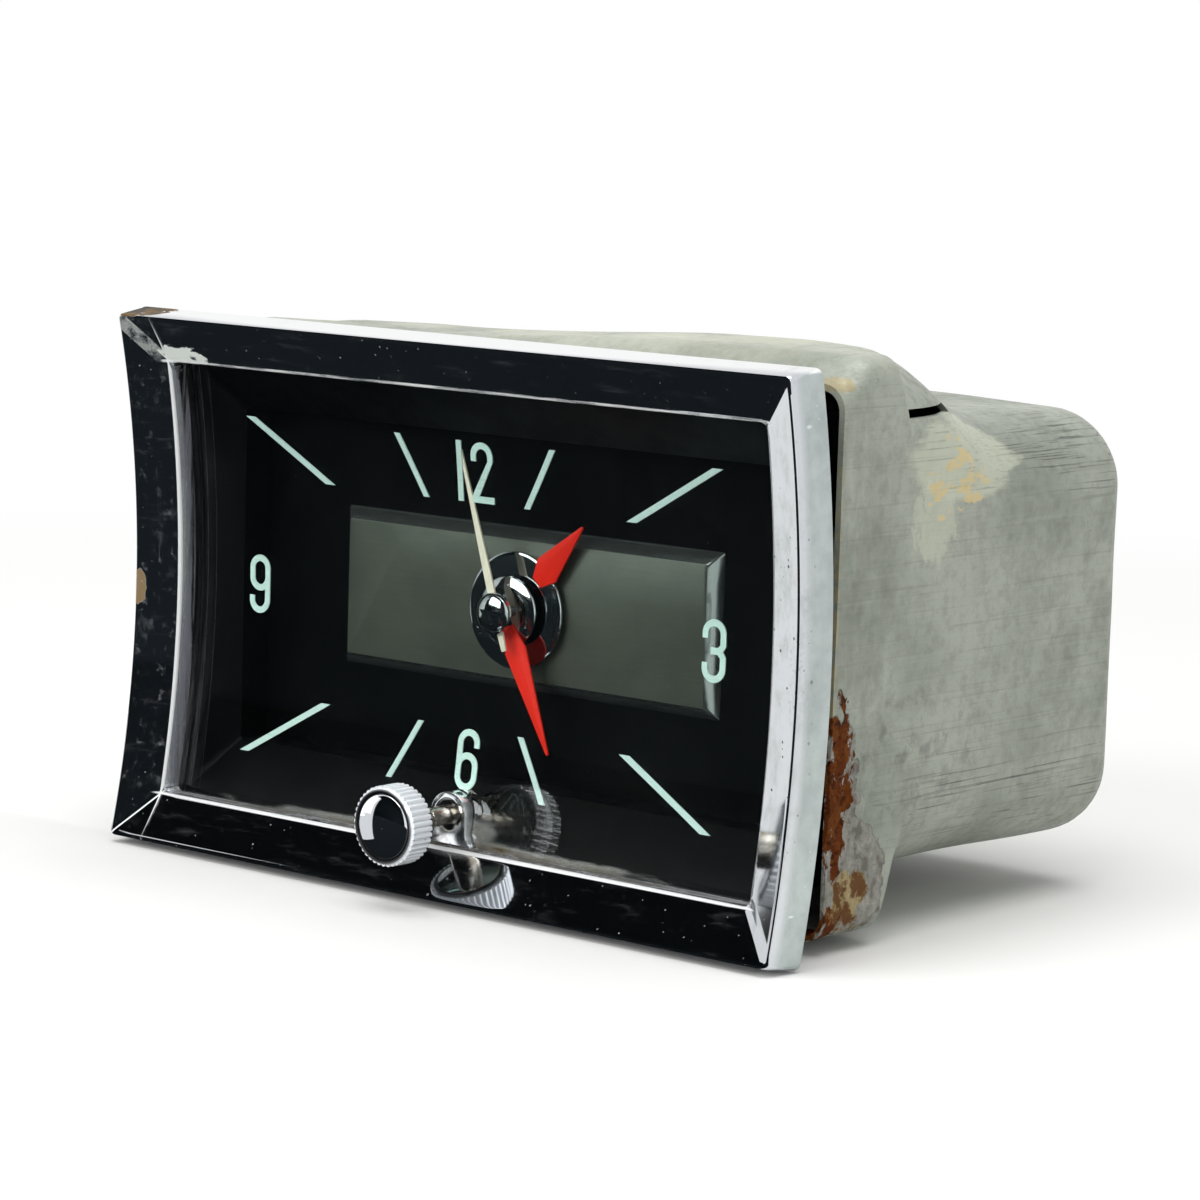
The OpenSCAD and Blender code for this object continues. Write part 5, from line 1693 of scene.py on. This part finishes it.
@dataclass
class Studio:
    """Pale floor, soft light and the camera at the photograph's place."""

    # The camera's angles in degrees, and its distance and target in mm
    azimuth: float = 39.051
    elevation: float = 7.771
    roll: float = 1.817
    distance: float = 487.83
    target: Point = (28.276, 0.0, 6.033)
    focal_px: float = 4058.0
    image_px: float = 1200.0
    sensor: float = 36.0
    floor_reach: float = 8.0
    fade_start: float = 120.0
    fade_end: float = 420.0
    room_light: float = 0.32

    def camera(self) -> None:
        """Sets the camera up."""
        a, e, r = (math.radians(v) for v in (self.azimuth, self.elevation, self.roll))
        back = Vector((math.sin(a) * math.cos(e), -math.cos(a) * math.cos(e), math.sin(e)))
        right = Vector((math.cos(a), math.sin(a), 0.0))
        up = back.cross(right)
        x_axis = right * math.cos(r) + up * math.sin(r)
        y_axis = up * math.cos(r) - right * math.sin(r)
        eye = at(*self.target) + back * self.distance * MM
        lens = bpy.data.cameras.new("camera")
        lens.sensor_width = self.sensor
        lens.lens = self.sensor * self.focal_px / self.image_px
        lens.clip_start = 0.01
        camera = bpy.data.objects.new("camera", lens)
        camera.matrix_world = Matrix((x_axis, y_axis, back)).transposed().to_4x4()
        camera.matrix_world.translation = eye
        bpy.context.scene.collection.objects.link(camera)
        bpy.context.scene.camera = camera

    def card(self, name: str, corners: Sequence[Point], finish: Material) -> None:
        """Hangs a card that only mirrors see.

        Args:
            name: Name of the card.
            corners: Its corners in metres.
            finish: Its material.
        """
        piece = mesh_piece(name, [Vector(p) for p in corners], [tuple(range(len(corners)))], finish)
        piece.visible_camera = False
        piece.visible_diffuse = False
        piece.visible_shadow = False

    def lamp(self, name: str, place: Point, toward: Point, size: tuple[float, float], power: float,
             mirrored: bool = True, only: Sequence[str] = ()) -> None:
        """Hangs a soft lamp.

        Args:
            name: Name of the lamp.
            place: Where it hangs, in metres.
            toward: Point that it faces, in metres.
            size: Width and height in metres.
            power: Power in watts.
            mirrored: Whether mirrors show it.
            only: Pieces that it lights, where it doesn't light all.
        """
        light = bpy.data.lights.new(name, "AREA")
        light.shape = "RECTANGLE"
        light.size, light.size_y = size
        light.energy = power
        lamp = bpy.data.objects.new(name, light)
        facing = (Vector(place) - Vector(toward)).to_track_quat("Z", "Y")
        lamp.matrix_world = Matrix.Translation(place) @ facing.to_matrix().to_4x4()
        lamp.visible_glossy = mirrored
        lamp.visible_camera = False
        bpy.context.scene.collection.objects.link(lamp)
        if only:
            lit = bpy.data.collections.new(name + "_lights")
            for piece in only:
                lit.objects.link(bpy.data.objects[piece])
            lamp.light_linking.receiver_collection = lit

    def floor(self) -> None:
        """Lays the pale floor, which fades to white away from the clock."""
        s = Surface("pale_floor")
        s.set(base_color=linear("#F2F2F0"), roughness=0.7)
        far = s.add("ShaderNodeVectorMath", {0: s.mm}, operation="LENGTH")
        fade = s.add("ShaderNodeMapRange", {"Value": far.outputs["Value"], "From Min": self.fade_start,
                                            "From Max": self.fade_end}, interpolation_type="SMOOTHSTEP")
        white = s.add("ShaderNodeEmission", {"Strength": 1.0})
        where = s.limit(fade.outputs[0], in_sight(s.tree))
        mix = s.add("ShaderNodeMixShader", {0: where, 1: s.shader.outputs[0], 2: white.outputs[0]})
        s.tree.links.new(mix.outputs[0], s.tree.nodes["Material Output"].inputs[0])
        level = CAD_BOX[0][2] - 0.0002
        reach = self.floor_reach
        corners = [Vector((x * reach, y * reach, level)) for x, y in ((-1, -1), (1, -1), (1, 1), (-1, 1))]
        mesh_piece("floor", corners, [(0, 1, 2, 3)], s.material)

    def world(self) -> None:
        """Sets a white surrounding that lights softly."""
        world = bpy.data.worlds.new("white_room")
        world.use_nodes = True
        tree = world.node_tree
        tree.nodes.clear()
        strength = add_node(tree, "ShaderNodeMapRange", {"Value": in_sight(tree), "To Min": self.room_light,
                                                         "To Max": 1.0})
        glow = add_node(tree, "ShaderNodeBackground", {"Color": (1.0, 1.0, 1.0, 1.0),
                                                       "Strength": strength.outputs[0]})
        add_node(tree, "ShaderNodeOutputWorld", {0: glow.outputs[0]})
        bpy.context.scene.world = world

    def build(self) -> None:
        """Sets up camera, light, floor and cards."""
        bpy.context.scene.view_settings.view_transform = "Standard"
        self.camera()
        self.world()
        self.floor()
        clock = (0.0, -0.05, 0.0)
        self.lamp("top_lamp", (0.1, -0.1, 0.9), clock, (0.9, 0.9), 8.0)
        self.lamp("right_lamp", (0.95, -0.35, 0.3), clock, (0.6, 0.7), 1.0)
        self.lamp("front_lamp", (-0.35, -0.95, 0.5), clock, (0.8, 0.6), 7.0, mirrored=False)
        # The bezel leaves knob, stem and bush in the dark, so they have small lamps of their own
        stem = ("setting_stem_bar", "stem_bush_arch")
        self.lamp("dome_lamp", (-0.02, -0.092, -0.0225), (0.0, -0.0855, -0.0245), (0.018, 0.026), 0.0012,
                  only=("knob_dome",))
        self.lamp("knob_lamp", (0.06, -0.2, 0.05), (0.0, -0.084, -0.025), (0.1, 0.1), 0.3,
                  only=("knob_skirt", *stem))
        self.lamp("bush_lamp", (-0.029, -0.114, -0.026), (0.002, -0.075, -0.0255), (0.02, 0.018), 0.0016,
                  only=stem)
        # Chrome is dark where it mirrors something dark: a wall in front of the clock and the table before it
        dark = Surface("dark_card")
        dark.set(base_color=linear("#191D20"), roughness=1.0, specular_ior_level=0.0)
        low = CAD_BOX[0][2] + 0.0005
        front = -1.2
        wall = ((-1.54, low), (0.75, low), (0.75, 2.7), (-2.6, 2.7), (-2.6, 1.2), (-1.54, 1.2))
        table = ((0.05, -0.074), (-0.125, -0.074), (-0.14, -0.12), (-0.2, -0.17), (-0.8, -0.25),
                 (-1.54, front), (0.75, front), (0.2, -0.26))
        self.card("front_card", [(x, front, z) for x, z in wall], dark.material)
        self.card("table_card", [(x, y, low) for x, y in table], dark.material)


def main() -> None:
    """Builds the clock piece by piece and reports each one."""
    logging.basicConfig(level=logging.INFO, format="%(message)s")
    bright = KnobChrome().make()
    face = Face()
    face.build(AgedChrome().make(), bright, ClearGlass().make())
    # Moulded plastic of the mask: deep black, hardly any shine
    black = SatinPaint("black_moulded_mask", "#08090B", sheen=0.5, gloss=0.16, dust_share=0.2).make()
    Dial().build(face, black, BrightCutPanel().make())
    # Sprayed paint of the hands: strong red and warm off-white, with a soft sheen
    red = SatinPaint("signal_red_paint", "#F2220A", shade="#B81404", sheen=0.5, dust_share=0.0,
                     grain_share=0.15).make()
    cream = SatinPaint("cream_paint", "#F6F1DC", shade="#CFC8AC", sheen=0.5, dust_share=0.0,
                       grain_share=0.2).make()
    Hands().build(red, cream, ChromePlate().make())
    # Steel of the stem: bright, browned by handling
    SettingKnob().build(bright, TurnedMetal("tarnished_stem_steel", "#C8C4BA", "#7C6A4A", shine=0.2).make())
    # Plated steel of the studs: pale grey with a yellow cast
    plated = TurnedMetal("zinc_plated_steel", "#C2C4C0", "#83806F", shine=0.32).make()
    # Rolled brass: warm yellow, browned in patches
    brass = TurnedMetal("rolled_brass", "#C9A75B", "#7D6232").make()
    CaseCan().build(WornZinc().make(), plated, brass)
    Movement().dress(brass)
    Studio().build()


if __name__ == "__main__":
    main()
